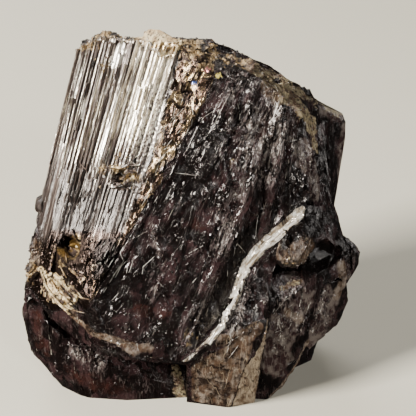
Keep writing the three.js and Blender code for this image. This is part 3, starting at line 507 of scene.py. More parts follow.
def refined(points, triangles, stretch):
    """Splits long edges in half, the longest first. stretch holds a matrix for each triangle, in whose
    space an edge may be 1 long."""
    while True:
        ends = np.stack([triangles, np.roll(triangles, -1, axis=1)], axis=2)
        keys = ends.min(axis=2) * len(points) + ends.max(axis=2)
        unique_keys, edge_of = np.unique(keys, return_inverse=True)
        edge_of = edge_of.reshape(-1, 3)
        run = points[ends[:, :, 1]] - points[ends[:, :, 0]]
        length = np.linalg.norm(np.einsum("tij,tej->tei", stretch, run), axis=2)
        edge_length = np.zeros(len(unique_keys))
        np.maximum.at(edge_length, edge_of, length)
        own = edge_length[edge_of]
        longest = np.take_along_axis(edge_of, own.argmax(axis=1)[:, None], axis=1)[:, 0]
        chosen = np.zeros(len(unique_keys), bool)
        chosen[longest] = True
        chosen &= edge_length > 1
        if not chosen.any():
            return points, triangles
        low, high = unique_keys[chosen] // len(points), unique_keys[chosen] % len(points)
        middle = np.full(len(unique_keys), -1)
        middle[chosen] = len(points) + np.arange(chosen.sum())
        points = np.concatenate([points, (points[low] + points[high]) / 2])
        triangles, stretch = split(triangles, middle[edge_of], stretch)


def split(triangles, middles, stretch):
    """Cuts each triangle at the middles of its sides. A middle of -1 is a side that stays whole."""
    count = (middles >= 0).sum(axis=1)
    made = [triangles[count == 0]]
    kept = [stretch[count == 0]]
    for sides in (1, 2, 3):
        rows = count == sides
        corner, middle = triangles[rows], middles[rows]
        if sides < 3:
            # The first side is cut, and where two are, the last side is whole.
            first = (middle >= 0).argmax(axis=1) if sides == 1 else ((middle < 0).argmax(axis=1) + 1) % 3
            corner, middle = turned(corner, first), turned(middle, first)
        a, b, c = corner.T
        ab, bc, ca = middle.T
        pieces = {
            1: [(a, ab, c), (ab, b, c)],
            2: [(ab, b, bc), (a, ab, bc), (a, bc, c)],
            3: [(a, ab, ca), (ab, b, bc), (ca, bc, c), (ab, bc, ca)],
        }[sides]
        made += [np.stack(piece, axis=1) for piece in pieces]
        kept += [stretch[rows]] * len(pieces)
    return np.concatenate(made), np.concatenate(kept)


def edge_stretch(points, triangles):
    """For each triangle, the matrix that makes the longest edge allowed there 1 long."""
    normals = triangle_normals(points, triangles)
    middles = points[triangles].mean(axis=1)
    facing = normals @ TOWARD_CAMERA > 0.05 * np.linalg.norm(normals, axis=1)
    edge = np.where(facing, FRONT_EDGE, REAR_EDGE)
    stretch = np.eye(3)[None] / edge[:, None, None]
    stria_edges = np.array([STRIA_EDGE_ACROSS, STRIA_EDGE_ALONG, STRIA_EDGE_ALONG])
    for face in (STRIATED, EDGE_STRIP):
        on_face = (face.mask(middles) > 0.5) & facing
        stretch[on_face] = face.axes / stria_edges[:, None]
    fine = bright_bevel(middles)[0] > 0
    for pit, radius, _ in PITS:
        fine |= np.linalg.norm(middles - pit, axis=1) < radius * 1.6
    stretch[fine] = np.eye(3) / FINE_EDGE
    return stretch


def dark_grain(points):
    """Coordinates across and along the dark face's grain, and out of the face."""
    flat = DARK.coordinates(points)
    across = DARK_GRAIN_TOP[0] - flat[:, 0]
    below = DARK_GRAIN_TOP[1] - flat[:, 1]
    angle = np.arctan2(across, below)
    return np.stack([-angle * DARK_GRAIN_REACH, -np.hypot(across, below), flat[:, 2]], axis=1)


def grain_coordinates(points):
    """Coordinates across, along and out of the face that each point lies on."""
    grain = points[:, [0, 2, 1]]
    on_dark = DARK.mask(points, depth=4.0) > 0.5
    grain[on_dark] = dark_grain(points[on_dark])
    for face in (FOOT, BEVEL, EDGE_STRIP, STRIATED):
        on_face = face.mask(points) > 0.5
        grain[on_face] = face.coordinates(points[on_face])
    cover, across, along = bright_bevel(points)
    on_bevel = cover > 0.3
    grain[on_bevel] = np.stack([across, along, across], axis=1)[on_bevel]
    return grain


def masks_of(points):
    """What covers the surface at each point, from 0 to 1."""
    masks = {name: near_lines(points, lines) for name, lines in LINES.items()}
    dark = DARK.mask(points, soft=0.3, depth=1.6)
    bevel = BEVEL.mask(points, soft=0.5, depth=1.6, ragged=0.5) * (1 - dark)
    striated = STRIATED.mask(points, soft=0.5, depth=1.0, ragged=0.6)
    striae = np.maximum(striated, EDGE_STRIP.mask(points, soft=0.4, depth=0.9))
    striae = striae * (1 - near_lines(points, BARE_LINES, ragged=0.6))
    foot = FOOT.mask(points, soft=0.8, depth=1.8)
    beige = BEIGE_FACET.mask(points, soft=0.25, depth=0.4)
    brown = BROWN_FACET.mask(points, soft=0.4, depth=0.6)
    masks["striae"] = striae
    masks["dark"] = dark
    masks["bevel"] = bevel * (1 - striae)
    masks["foot"] = foot * (1 - striae) * (1 - bevel) * (1 - dark)
    masks["dull"] = np.maximum(near_lines(points, BARE_LINES), foot) * (1 - dark)
    masks["beige"] = beige
    masks["brown"] = np.maximum(near_lines(points, BROWN_LINES), brown) * (1 - beige)
    masks["pale"] = near_lines(points, PALE_BROWN_LINES) * (1 - beige)
    # The narrow strip across the dark face; its near-white colour is its silvery grain with a painted
    # highlight on it.
    masks["white"] = bright_bevel(points)[0]
    return masks


def relief(points, grain, masks):
    """How far the surface stands in or out at each point."""
    places, levels = striae_profile()
    striae = -np.interp(grain[:, 0] + 0.08 * smooth_noise(grain * 0.5, 3), places, levels)
    dark, bevel = faceted(grain, "dark"), faceted(grain, "bevel")
    plain = faceted(points, "plain") + 0.14 * (rough_noise(points * 0.45, 140) - 0.5)
    rest = 1 - np.clip(masks["striae"] + masks["dark"] + masks["bevel"], 0, 1)
    height = masks["striae"] * striae + masks["dark"] * dark + masks["bevel"] * bevel + rest * plain
    height = height + masks["white"] * (faceted(grain, "crumpled") - height)
    height = height * (1 - masks["plate"]) * (1 - 0.85 * near_lines(points, CRISP_LINES))
    for pit, radius, depth in PITS:
        from_pit = np.linalg.norm(points - pit, axis=1)
        height = height - depth * (1 - smooth_step(from_pit, radius * 0.5, radius))
    return height


def point_normals(points, triangles):
    normals = np.zeros_like(points)
    flat = triangle_normals(points, triangles)
    for corner in range(3):
        np.add.at(normals, triangles[:, corner], flat)
    return normals / np.maximum(np.linalg.norm(normals, axis=1), 1e-12)[:, None]


def inside_box(points):
    low, high = (np.array(corner) / MM for corner in CAD_BOX)
    return np.clip(points, low, high)


def mesh_object(name, points, faces, attributes=None, sharp=None):
    """A mesh piece from points in millimetres. attributes are numbers or vectors for each point."""
    mesh = bpy.data.meshes.new(name)
    mesh.from_pydata((np.asarray(points) * MM).tolist(), [], [list(face) for face in faces])
    for attribute, values in (attributes or {}).items():
        values = np.asarray(values, np.float32)
        kind, field = ("FLOAT_VECTOR", "vector") if values.ndim == 2 else ("FLOAT", "value")
        layer = mesh.attributes.new(attribute, kind, "POINT")
        layer.data.foreach_set(field, values.ravel())
    mesh.validate()
    if sharp is not None:
        mesh.shade_smooth()
        mesh.set_sharp_from_angle(angle=math.radians(sharp))
    piece = bpy.data.objects.new(name, mesh)
    bpy.context.scene.collection.objects.link(piece)
    return piece


def body_surface():
    points, triangles = node_surface(NODE)
    points, triangles = refined(points, triangles, edge_stretch(points, triangles))
    normals = point_normals(points, triangles)
    above_base = smooth_step(points[:, 2], RELIEF_STARTS, RELIEF_FULL)
    height = relief(points, grain_coordinates(points), masks_of(points)) * above_base
    return inside_box(points + normals * height[:, None]), triangles


def crystal_piece(name, points, faces, material, sharp=None):
    """A mesh piece of the crystal that carries its coats and grain."""
    attributes = {**masks_of(points), "grain": grain_coordinates(points)}
    piece = mesh_object(name, points, faces, attributes, sharp)
    piece.data.materials.append(material)
    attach(piece, "root")
    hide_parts(NODE)
    return piece


# ---- small plates, fibres, needles and grains on the surface ----
def unit_rows(vectors):
    return vectors / np.maximum(np.linalg.norm(vectors, axis=-1, keepdims=True), 1e-9)


def set_down(tree, spots):
    """The nearest place on the body to each spot and the way out of it. Spots that are too far away and
    those in a pit are left out."""
    found = [tree.find_nearest(spot, SNAP_REACH) for spot in spots]
    found = [(tuple(place), tuple(normal)) for place, normal, _, _ in found if place is not None]
    places, normals = (np.array(column) for column in zip(*found))
    clear = np.ones(len(places), bool)
    for pit, radius, _ in PITS:
        clear &= np.linalg.norm(places - pit, axis=1) > radius * 1.3
    return places[clear], normals[clear]


def spots_by_lines(lines, per_length, random):
    """Random places near some lines, more of them close by than far off."""
    spots = []
    for reach, *line in lines:
        line = np.array(line, float)
        for start, end in zip(line[:-1], line[1:]) if len(line) > 1 else [(line[0], line[0])]:
            count = int(per_length * (np.linalg.norm(end - start) + reach) * reach)
            share = random.uniform(0, 1, (count, 1))
            spots.append(start + share * (end - start) + random.normal(0, reach * 0.45, (count, 3)))
    return np.concatenate(spots)


def spots_on_face(face, count, random, margin=0.1):
    """Up to count random places on a face, none nearer to its outline than margin."""
    low, high = face.corners.min(axis=0), face.corners.max(axis=0)
    flat = random.uniform(low, high, (count * 2, 2))
    flat = flat[distance_outside(flat, face.corners) < -margin][:count]
    return face.origin + flat @ face.axes[:2]


def ring_faces(count, corners, rings):
    """Faces of closed prisms: rings of corners, then their two ends."""
    faces = []
    for piece in range(count):
        first = piece * corners * rings
        for ring in range(rings - 1):
            low = first + ring * corners
            for corner in range(corners):
                after = (corner + 1) % corners
                faces.append((low + corner, low + after, low + corners + after, low + corners + corner))
        last = first + corners * (rings - 1)
        faces.append(tuple(range(first + corners - 1, first - 1, -1)))
        faces.append(tuple(range(last, last + corners)))
    return faces


def plates(places, normals, grain, sizes, tilt, random):
    """Thin plates half sunk in the surface. sizes are half length, half width and height."""
    count, corners = len(places), 5
    out = unit_rows(normals + random.normal(0, tilt, (count, 3)))
    along = unit_rows(grain + random.normal(0, 0.25, (count, 3)))
    along = unit_rows(along - out * np.sum(along * out, axis=1, keepdims=True))
    across = np.cross(along, out)
    turn = np.arange(corners) / corners * math.tau + random.uniform(0, 1, (count, 1))
    turn = turn + random.uniform(-0.35, 0.35, (count, corners))
    scale = random.uniform(0.4, 1.0, (count, 1)) ** 2 * 1.2
    length, width, height = (size * scale for size in sizes)
    ring = along[:, None] * (np.cos(turn) * length)[..., None]
    ring = ring + across[:, None] * (np.sin(turn) * width)[..., None]
    lift = out[:, None] * height[..., None]
    foot = places[:, None] - lift + ring
    top = places[:, None] + lift + ring * 0.75
    points = np.stack([foot, top], axis=1).reshape(-1, 3)
    return inside_box(points), ring_faces(count, corners, 2)


def joined(parts):
    """Several (points, faces) as one."""
    points, faces, before = [], [], 0
    for part_points, part_faces in parts:
        points.append(part_points)
        faces += [tuple(before + corner for corner in face) for face in part_faces]
        before += len(part_points)
    return np.concatenate(points), faces


def flake_plates(tree, random):
    """Cleavage plates that break up the surface and catch the light."""
    dark_along = DARK.along * 0.92 + DARK.across * 0.38
    upright = np.array(UPRIGHT, float)
    # Places, the way the plates lie, their half length, half width and height, and how they tilt.
    fields = [
        (spots_by_lines(LINES["film"], 34, random), dark_along, (0.24, 0.1, 0.05), 0.45),
        (spots_on_face(DARK, 340, random), dark_along, (0.3, 0.07, 0.03), 0.3),
        (spots_on_face(BEVEL, 300, random), BEVEL.along, (0.42, 0.14, 0.07), 0.3),
        (spots_on_face(STRIATED, 420, random, 1.0), STRIATED.along, (0.9, 0.05, 0.05), 0.12),
        (spots_on_face(FOOT, 300, random), FOOT.along, (0.22, 0.1, 0.05), 0.4),
        (spots_by_lines(LINES["tan"], 30, random), upright, (0.16, 0.11, 0.07), 0.6),
        (spots_by_lines(BROWN_LINES, 12, random), upright, (0.2, 0.12, 0.05), 0.5),
    ]
    parts = []
    for spots, along, sizes, tilt in fields:
        places, normals = set_down(tree, spots)
        parts.append(plates(places, normals, along, sizes, tilt, random))
    return joined(parts)


def fibres(tree, starts, headings, lengths, bends, radius, rings=7):
    """Thin fibres that lie on the surface and taper to both ends."""
    sides = 4
    turn = np.arange(sides) / sides * math.tau
    parts = []
    for start, heading, length, bend in zip(starts, headings, lengths, bends):
        place, heading = np.array(start, float), unit(heading)
        path = []
        for ring in range(rings):
            found, normal, _, _ = tree.find_nearest(place)
            normal = np.array(normal)
            place = np.array(found) + normal * radius * 1.2
            path.append((place, normal))
            heading = unit(heading - normal * (heading @ normal))
            heading = unit(heading + np.cross(normal, heading) * bend / (rings - 1))
            place = place + heading * length / (rings - 1)
        thickness = radius * np.sin(np.linspace(0.25, math.pi - 0.25, rings)) ** 0.5
        points = []
        for ring, (place, normal) in enumerate(path):
            before, after = path[max(ring - 1, 0)][0], path[min(ring + 1, rings - 1)][0]
            run = unit(after - before)
            side = unit(np.cross(run, normal))
            lift = np.cross(side, run)
            section = np.outer(np.cos(turn), side) + np.outer(np.sin(turn), lift)
            points.append(place + thickness[ring] * section)
        parts.append((inside_box(np.concatenate(points)), ring_faces(1, sides, rings)))
    return joined(parts)


def scratch_fibres(tree, random):
    """Pale hairs and scratches: long straight ones on the dark face, curled ones by the small pit."""
    dark = spots_on_face(DARK, 22, random)
    edge = spots_by_lines([(1.6, EDGE_FOOT, MAIN_EDGE_MIDDLE, (-0.4, -0.9, 24.4))], 2.2, random)
    pit = spots_by_lines([(0.9, SMALL_PIT, (-5.0, -2.3, 19.9))], 3, random)
    low_lines = [(1.6, (6.9, -4.2, 9.0), (7.9, -4.9, 6.0)), (1.3, (3.2, -7.0, 6.6))]
    low = spots_by_lines(low_lines, 3, random)
    starts = np.concatenate([dark, edge, pit, low])
    count, curled = len(starts), slice(len(dark) + len(edge), len(dark) + len(edge) + len(pit))
    angle = random.normal(math.radians(58), 0.5, count)
    angle[curled] = random.uniform(-0.6, 0.6, len(pit))
    headings = np.outer(np.cos(angle), DARK.across) + np.outer(np.sin(angle), DARK.along)
    lengths = random.uniform(0.3, 1.0, count) ** 2 * 2.0
    bends = random.normal(0, 0.15, count)
    bends[curled] = random.uniform(-2.4, 2.4, len(pit))
    return fibres(tree, starts, headings, lengths, bends, 0.013)


def needle_spray(tree, random):
    """Cream needles that lie across the foot in loose bundles."""
    bundles = [
        ((-12.6, -2.8, 12.2), (-10.2, -5.3, 11.0), 3),
        ((-11.6, -4.0, 11.6), (-8.9, -6.7, 11.1), 4),
        ((-12.0, -4.2, 10.6), (-9.4, -6.5, 10.0), 2),
        ((-9.6, -3.7, 13.9), (-8.6, -4.4, 13.6), 1),
        ((-10.8, -3.6, 12.6), (-9.4, -5.4, 12.0), 1),
    ]
    parts = []
    for thickness, portion in ((0.06, 1.0), (0.12, 0.6)):
        starts, headings, lengths = [], [], []
        for start, end, most in bundles:
            count = max(1, int(most * portion))
            start, run = np.array(start), np.array(end) - np.array(start)
            share = random.uniform(0, 0.8, (count, 1))
            starts.append(start + share * run + random.normal(0, 0.35, (count, 3)))
            headings.append(unit(run) + random.normal(0, 0.35, (count, 3)))
            lengths.append(np.linalg.norm(run) * random.uniform(0.3, 0.8, count))
        starts, headings, lengths = (np.concatenate(lists) for lists in (starts, headings, lengths))
        bends = random.normal(0, 0.1, len(starts))
        parts.append(fibres(tree, starts, headings, lengths, bends, thickness, rings=4))
    return joined(parts)


def crust_grains(tree, random):
    """Small tan crystals grown on the rim, in the pits and on the foot."""
    parts = []
    tan = LINES["tan"], 4, (0.2, 0.13, 0.09)
    cream = LINES["cream"][1:], 6, (0.26, 0.17, 0.12)
    for lines, per_length, sizes in (tan, cream):
        places, normals = set_down(tree, spots_by_lines(lines, per_length, random))
        parts.append(plates(places, normals, np.array(UPRIGHT, float), sizes, 0.8, random))
    return joined(parts)


# ---- materials ----
class Shader:
    """One material, with short names for the nodes that it needs."""

    def __init__(self, name):
        self.material = bpy.data.materials.new(name)
        self.material.use_nodes = True
        self.nodes = self.material.node_tree.nodes
        self.links = self.material.node_tree.links
        self.surface = self.nodes["Principled BSDF"]

    def feed(self, socket, value):
        if isinstance(value, bpy.types.NodeSocket):
            self.links.new(value, socket)
        elif isinstance(value, tuple) and len(value) == 3 and len(socket.default_value) == 4:
            socket.default_value = (*value, 1.0)
        else:
            socket.default_value = value

    def node(self, kind, inputs=None, **settings):
        """A new node. inputs are what feeds it, by the names or numbers of its sockets."""
        made = self.nodes.new(kind)
        for name, value in settings.items():
            setattr(made, name, value)
        for name, value in (inputs or {}).items():
            self.feed(made.inputs[name], value)
        return made

    def set(self, **inputs):
        for name, value in inputs.items():
            self.feed(self.surface.inputs[name.replace("_", " ")], value)

    def mask(self, name):
        return self.node("ShaderNodeAttribute", attribute_name=name).outputs["Fac"]

    def place(self):
        """The place on the specimen, in millimetres."""
        return self.scaled(self.node("ShaderNodeTexCoord").outputs["Object"], (1 / MM,) * 3)

    def vectors(self, operation, *vectors, output="Vector"):
        node = self.node("ShaderNodeVectorMath", dict(enumerate(vectors)), operation=operation)
        return node.outputs[output]

    def scaled(self, vector, scale):
        return self.vectors("MULTIPLY", vector, scale)

    def noise(self, vector, scale=1.0, detail=3.0, roughness=0.55, distortion=0.0, output="Fac"):
        inputs = {"Vector": vector, "Scale": scale, "Detail": detail, "Roughness": roughness}
        return self.node("ShaderNodeTexNoise", {**inputs, "Distortion": distortion}).outputs[output]

    def cells(self, vector):
        """What a pattern of random cells gives, about one cell to a unit of length."""
        return self.node("ShaderNodeTexVoronoi", {"Vector": vector, "Scale": 1.0}).outputs

    def math(self, operation, *values):
        return self.node("ShaderNodeMath", dict(enumerate(values)), operation=operation).outputs["Value"]

    def step(self, value, start, end, to_low=0.0, to_high=1.0):
        """A smooth step of value, from to_low at start to to_high at end. It falls where start is the
        higher value."""
        if start > end:
            start, end, to_low, to_high = end, start, to_high, to_low
        ends = {"From Min": start, "From Max": end, "To Min": to_low, "To Max": to_high}
        inputs = {"Value": value, **ends}
        return self.node("ShaderNodeMapRange", inputs, interpolation_type="SMOOTHSTEP").outputs["Result"]

    def mix(self, share, under, over, kind="RGBA"):
        inputs = {"Factor": share, "A": under, "B": over}
        return self.node("ShaderNodeMix", inputs, data_type=kind).outputs["Result"]

    def between(self, share, low, high):
        """A number between two."""
        return self.mix(share, low, high, "FLOAT")

    def bump(self, height, distance, strength=1.0, under=None):
        inputs = {"Height": height, "Distance": distance * MM, "Strength": strength}
        if under is not None:
            inputs["Normal"] = under
        return self.node("ShaderNodeBump", inputs).outputs["Normal"]

    def layered(self, layers, patterns):
        """The colour of a list of layers, with the patterns that it names."""
        colour = layers[0]
        for name, *span, over in layers[1:]:
            mask, _, name = name.rpartition(" + ")
            cover = self.math("ADD", self.mask(mask), patterns[name]) if mask else patterns[name]
            share = self.step(cover, *span) if len(span) == 2 else self.math("MULTIPLY", cover, *span)
            over = self.layered(over, patterns) if isinstance(over, list) else over
            colour = self.mix(share, colour, over)
        return colour


# Colours are linear red, green and blue.
BLACK = (0.004, 0.0022, 0.002)
MAUVE = (0.029, 0.015, 0.016)
RED_BROWN = (0.036, 0.0125, 0.01)
VEIL = (0.075, 0.055, 0.055)
FILM_GREY = (0.18, 0.152, 0.142)
FILM_PALE = (0.64, 0.61, 0.57)
# The striae's silver is partly their pearly lustre and partly a painted sheen of the key lamp's
# reflection.
PAINTED_SILVER_SHEEN = (0.84, 0.79, 0.69)
STRIA_BROWN = (0.13, 0.098, 0.086)
STRIA_DARK = (0.03, 0.021, 0.018)
UMBER = (0.02, 0.012, 0.009)
BROWN = (0.085, 0.052, 0.034)
GOLD = (0.25, 0.182, 0.105)
BRASS = (0.42, 0.33, 0.19)
ROSE_GREY = (0.22, 0.18, 0.152)
AMBER = (0.16, 0.095, 0.025)
# Colours of the painted iridescent glints.
GLINT_BLUE = (0.12, 0.2, 0.55)
GLINT_YELLOW = (0.6, 0.5, 0.14)
GLINT_ROSE = (0.5, 0.2, 0.2)
GREY_TAN = (0.36, 0.29, 0.21)
TAN = (0.38, 0.265, 0.14)
HAZE = (0.12, 0.099, 0.091)
OLIVE = (0.24, 0.2, 0.125)
CREAM = (0.67, 0.545, 0.33)
BEIGE = (0.31, 0.25, 0.19)
WHITE = (0.93, 0.91, 0.86)

# A colour can be a list of layers, the lowest first. Each layer on the first one has the pattern that
# breaks it up, the values between which it fades in, and its colour. Where the first value is the
# higher one, it lies where the pattern is low. One value alone is its strength. A mask is 1 where it
# covers, and is added to the pattern, so that a layer which starts at 1 or more stays inside it.
GOLDEN = [
    UMBER,
    ("shard", 0.12, 0.28, BROWN),
    ("gold", 0.46, 0.58, GOLD),
    ("mottle", 0.5, 0.4, UMBER),
    ("lines", 0.62, 0.7, BRASS),
]
SMOKY = [BROWN, ("hatch", 0.42, 0.66, ROSE_GREY), ("mottle", 0.6, 0.36, UMBER), ("hair", 0.7, GREY_TAN)]
HAZY = [MAUVE, ("clouds", 0.44, 0.58, HAZE), ("hair", 0.6, FILM_GREY)]
FILM = [FILM_GREY, ("speckle", 0.52, 0.62, FILM_PALE)]
# The silver layer is partly a pearly lustre and partly a painted sheen of the key lamp's reflection.
STRIAE = [STRIA_DARK, ("brightness", 0.41, 0.46, STRIA_BROWN), ("brightness", 0.525, 0.565, PAINTED_SILVER_SHEEN)]
OLIVE_CRUST = [
    BROWN,
    ("mottle", 0.42, 0.56, OLIVE),
    ("speckle", 0.46, 0.36, UMBER),
    ("speckle", 0.58, 0.68, GREY_TAN),
]
TAN_CRUST = [
    BROWN,
    ("mottle", 0.4, 0.52, TAN),
    ("speckle", 0.56, 0.64, CREAM),
    ("speckle", 0.4, 0.32, UMBER),
]
CREAM_CRUST = [TAN, ("mottle", 0.42, 0.56, CREAM), ("speckle", 0.46, 0.38, BROWN)]
BEIGE_PRISM = [BROWN, ("hatch", 0.36, 0.6, BEIGE), ("mottle", 0.5, 0.66, GREY_TAN), ("hair", 1, UMBER)]
PALE_BROWN = [BROWN, ("mottle", 0.4, 0.6, ROSE_GREY)]
# The bright strip's white strands are partly its silvery grain and partly a painted highlight of the
# light on it.
BRIGHT_STRIP = [
    GREY_TAN,
    ("strands", 0.47, 0.55, WHITE),
    ("strands", 0.46, 0.4, STRIA_DARK),
    ("speckle", 0.34, 0.26, STRIA_DARK),
]
CRYSTAL = [
    BLACK,
    ("patches", 0.42, 0.6, MAUVE),
    ("shard", 0.5, 0.3, BLACK),
    ("red + mottle", 1.25, 1.85, RED_BROWN),
    ("veil", 0.58, 0.72, VEIL),
    ("lit lines", 0.68, 0.74, FILM_GREY),
    ("hair", 0.12, FILM_GREY),
    ("dull + patches", 1, 1.2, UMBER),
    ("foot + patches", 1.54, 1.74, GOLDEN),
    ("bevel + patches", 0.92, 1.12, GOLDEN),
    ("brown + patches", 1, 1.4, SMOKY),
    ("haze + patches", 1, 1.4, HAZY),
    ("film + hatch", 1.48, 1.64, FILM),
    ("fading striae", 0.64, 0.72, STRIAE),
    ("olive + speckle", 1.28, 1.48, OLIVE_CRUST),
    ("tan + mottle", 1.4, 1.6, TAN_CRUST),
    ("cream + speckle", 1.3, 1.5, CREAM_CRUST),
    ("amber + mottle", 1, 1.4, AMBER),
    # Black over the black glossy patches, and painted shade in the pits, the recess, the grooves and
    # under the lump.
    ("black + patches", 0.8, 1.4, BLACK),
    ("beige + speckle", 1, 1.2, BEIGE_PRISM),
    ("pale + hatch", 1.15, 1.65, PALE_BROWN),
    ("white + speckle", 1, 1.2, BRIGHT_STRIP),
    # White on the plates of the striae is a painted highlight.
    ("plate + lines", 1.25, 1.35, WHITE),
    # Painted iridescent glints.
    ("yellow + lines", 1.4, 1.52, GLINT_YELLOW),
    ("rose + lines", 1.4, 1.52, GLINT_ROSE),
    ("blue + lines", 1.4, 1.52, GLINT_BLUE),
]
# Scale, detail and roughness of the even noises, by name.
EVEN_NOISES = {"patches": (0.5, 4, 0.6), "mottle": (1.3, 4, 0.62), "speckle": (4.5, 3, 0.65)}
# Scale across, along and out of the grain, detail, roughness and distortion of the noises drawn out
# along it.
GRAIN_NOISES = {
    "hatch": ((2.3, 0.75, 2.3), 5, 0.68, 0.5),
    "lines": ((7, 0.7, 7), 3, 0.65, 0.3),
    "strands": ((5, 0.25, 5), 5, 0.7, 0.2),
    "streaks": ((3, 0.06, 1), 7, 0.74, 0),
}


def flakes(shader, vector):
    """Flat tilted flakes, about one to a unit of length."""
    cells = shader.cells(vector)
    offset = shader.vectors("SUBTRACT", vector, cells["Position"])
    tilt = shader.vectors("SUBTRACT", cells["Color"], (0.5, 0.5, 0.5))
    return shader.vectors("DOT_PRODUCT", offset, tilt, output="Value")


def shards(shader, vector):
    """A random number for each of many ragged cells, about one to a unit of length."""
    stray = shader.noise(vector, scale=1.7, detail=4.0, roughness=0.5, output="Color")
    strayed = shader.vectors("MULTIPLY_ADD", stray, (0.9, 0.9, 0.9), vector)
    parts = shader.node("ShaderNodeSeparateColor", {"Color": shader.cells(strayed)["Color"]})
    return parts.outputs["Red"]


def hairlines(shader, vector):
    """1 on thin lines that wander, 0 elsewhere."""
    level = shader.noise(vector, detail=1.0, roughness=0.5)
    return shader.step(shader.math("ABSOLUTE", shader.math("SUBTRACT", level, 0.5)), 0.01, 0.004)


def crystal_patterns(shader, grain):
    """The patterns of the crystal's colours, by name."""
    place = shader.place()
    patterns = {name: shader.noise(place, *values) for name, values in EVEN_NOISES.items()}
    for name, (scale, *values) in GRAIN_NOISES.items():
        patterns[name] = shader.noise(shader.scaled(grain, scale), 1.0, *values)
    patterns["shard"] = shards(shader, shader.scaled(grain, (1.7, 0.75, 1.7)))
    patterns["hair"] = hairlines(shader, shader.scaled(grain, (1.6, 0.22, 1.6)))
    patterns["gold"] = shader.between(0.5, patterns["shard"], patterns["hatch"])
    patterns["clouds"] = shader.between(0.65, patterns["hatch"], patterns["mottle"])
    # Some patterns are stronger or weaker in a mask.
    speckled = shader.mask("speckled")
    patterns["brightness"] = shader.between(speckled, patterns["streaks"], patterns["speckle"])
    # The painted shine band raises the striae's brightness, so that more of them are painted silver as a
    # painted highlight; dim lowers it towards the foot.
    for made, source, mask, amount in (
        ("veil", "hatch", "film", 0.12),
        ("lit lines", "lines", "film", 0.1),
        ("fading striae", "streaks", "striae", 0.4),
        ("brightness", "brightness", "painted_shine", 0.11),
        ("brightness", "brightness", "dim", -0.14),
    ):
        more = shader.math("MULTIPLY", shader.mask(mask), amount)
        patterns[made] = shader.math("ADD", patterns[source], more)
    return patterns


def mirroring(shader, brightness):
    """How far the surface's colour tints what it mirrors. It lights up the striae and the bright strip,
    makes the bevel golden and keeps the dark foot dull."""
    bright = shader.step(brightness, 0.52, 0.57, 0.0, 0.8)
    striae = shader.math("MULTIPLY", bright, shader.mask("striae"))
    most = shader.math("MAXIMUM", striae, shader.step(shader.mask("dull"), 0.1, 0.6, 0.0, 0.85))
    for name, amount in (("plate", 0.5), ("white", 0.375), ("bevel", 0.75)):
        most = shader.math("MAXIMUM", most, shader.math("MULTIPLY", shader.mask(name), amount))
    return most


def smoothness(shader, hatch):
    crusted = shader.math("MAXIMUM", shader.mask("tan"), shader.mask("cream"))
    roughness = shader.between(crusted, shader.step(hatch, 0.3, 0.7, 0.08, 0.3), 0.6)
    return shader.between(shader.mask("striae"), roughness, 0.3)


def broken_surface(shader, grain, lines):
    """Large and small flakes and fine lines, strongest on the film, the bright strip and the bevel."""
    rough_places = shader.math("MAXIMUM", shader.mask("film"), shader.mask("white"))
    rough_places = shader.math("MAXIMUM", rough_places, shader.mask("bevel"))
    strength = shader.step(rough_places, 0.0, 1.0, 0.5, 1.0)
    large = shader.bump(flakes(shader, shader.scaled(grain, (2.2, 0.8, 2.2))), 0.16, strength)
    small = shader.bump(flakes(shader, shader.scaled(grain, (6.0, 2.0, 6.0))), 0.06, strength, large)
    return shader.bump(lines, 0.05, under=small)


def axinite():
    """The crystal itself."""
    shader = Shader("axinite")
    grain = shader.node("ShaderNodeAttribute", attribute_name="grain").outputs["Vector"]
    patterns = crystal_patterns(shader, grain)
    shader.set(Base_Color=shader.layered(CRYSTAL, patterns))
    shader.set(Roughness=smoothness(shader, patterns["hatch"]))
    shader.set(Metallic=mirroring(shader, patterns["brightness"]))
    shader.set(Normal=broken_surface(shader, grain, patterns["lines"]))
    shader.set(IOR=1.68, Specular_IOR_Level=0.4, Specular_Tint=(1.0, 0.96, 0.94))
    return shader.material


def crust_mineral():
    """The pale needles and tan grains."""
    shader = Shader("crust_mineral")
    place = shader.place()
    mottled = shader.noise(place, scale=1.6, detail=5.0, roughness=0.7)
    fine = shader.noise(place, scale=9.0, detail=3.0)
    pale = shader.math("ADD", mottled, shader.math("MULTIPLY", shader.mask("cream"), 0.2))
    patterns = {"mottled": mottled, "pale": pale, "fine": fine}
    mottling = [("mottled", 0.42, 0.56, TAN), ("pale", 0.56, 0.68, CREAM), ("fine", 0.44, 0.34, UMBER)]
    shader.set(Base_Color=shader.layered([BROWN, *mottling], patterns))
    shader.set(Roughness=shader.step(fine, 0.3, 0.7, 0.3, 0.6), IOR=1.6, Normal=shader.bump(fine, 0.02))
    return shader.material


def pale_fibre():
    shader = Shader("pale_fibre")
    along = shader.noise(shader.place(), scale=3.0, detail=4.0, roughness=0.7)
    shader.set(Base_Color=shader.layered([FILM_GREY, ("along", 0.35, 0.6, WHITE)], {"along": along}))
    shader.set(Roughness=shader.step(along, 0.3, 0.7, 0.25, 0.5), IOR=1.55)
    return shader.material


def floor_paint():
    shader = Shader("pale_floor")
    tone = shader.noise(shader.place(), scale=0.02, detail=2.0)
    shader.set(Base_Color=shader.mix(tone, *FLOOR_COLOURS), Roughness=0.8)
    return shader.material


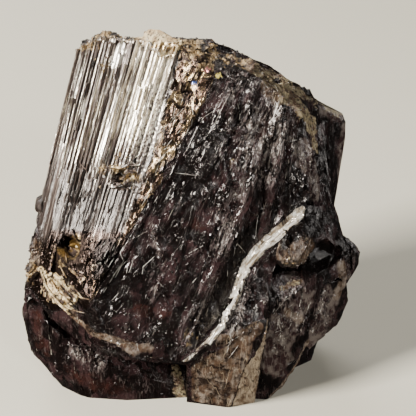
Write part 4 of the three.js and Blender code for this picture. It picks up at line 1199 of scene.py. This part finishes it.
# ---- stage ----
def aimed(name, data, target, offset):
    """A camera or lamp at an offset from a target, aimed at it."""
    made = bpy.data.objects.new(name, data)
    target = Vector(target) * MM
    made.location = target + offset * MM
    made.rotation_euler = (target - made.location).to_track_quat("-Z", "Y").to_euler()
    bpy.context.scene.collection.objects.link(made)
    return made


def place_camera():
    data = bpy.data.cameras.new("camera")
    data.lens = LENS
    data.clip_start = NEAREST_SEEN * MM
    offset = Vector(TOWARD_CAMERA) * CAMERA_DISTANCE
    bpy.context.scene.camera = aimed("camera", data, CAMERA_TARGET, offset)


def place_floor():
    corners = [(x * FLOOR_HALF, y * FLOOR_HALF, 0) for x, y in ((-1, -1), (1, -1), (1, 1), (-1, 1))]
    floor = mesh_object("floor", corners, [(0, 1, 2, 3)])
    floor.data.materials.append(floor_paint())
    floor.visible_glossy = False


def place_lamp(name, direction, distance, size, power, colour):
    """A square lamp at a distance along a direction from the target."""
    data = bpy.data.lights.new(name, "AREA")
    data.size = size * MM
    data.energy = power
    data.color = colour
    aimed(name, data, LAMP_TARGET, Vector(direction).normalized() * distance)


def light_room():
    world = bpy.data.worlds.new("studio")
    world.use_nodes = True
    backdrop = world.node_tree.nodes["Background"]
    backdrop.inputs["Color"].default_value = ROOM_COLOUR
    backdrop.inputs["Strength"].default_value = ROOM_STRENGTH
    bpy.context.scene.world = world


# ---- the scene ----
place_camera()
place_floor()
for lamp_values in LAMPS:
    place_lamp(*lamp_values)
light_room()

random = np.random.default_rng(SEED)
body_points, body_triangles = body_surface()
body_tree = BVHTree.FromPolygons(body_points.tolist(), body_triangles.tolist())
crystal, crust, hair = axinite(), crust_mineral(), pale_fibre()
crystal_piece("axinite_body", body_points, body_triangles, crystal, sharp=SHARP_ANGLE)
crystal_piece("axinite_flakes", *flake_plates(body_tree, random), crystal)
crystal_piece("axinite_grains", *crust_grains(body_tree, random), crust)
crystal_piece("axinite_needles", *needle_spray(body_tree, random), crust)
crystal_piece("axinite_fibres", *scratch_fibres(body_tree, random), hair)
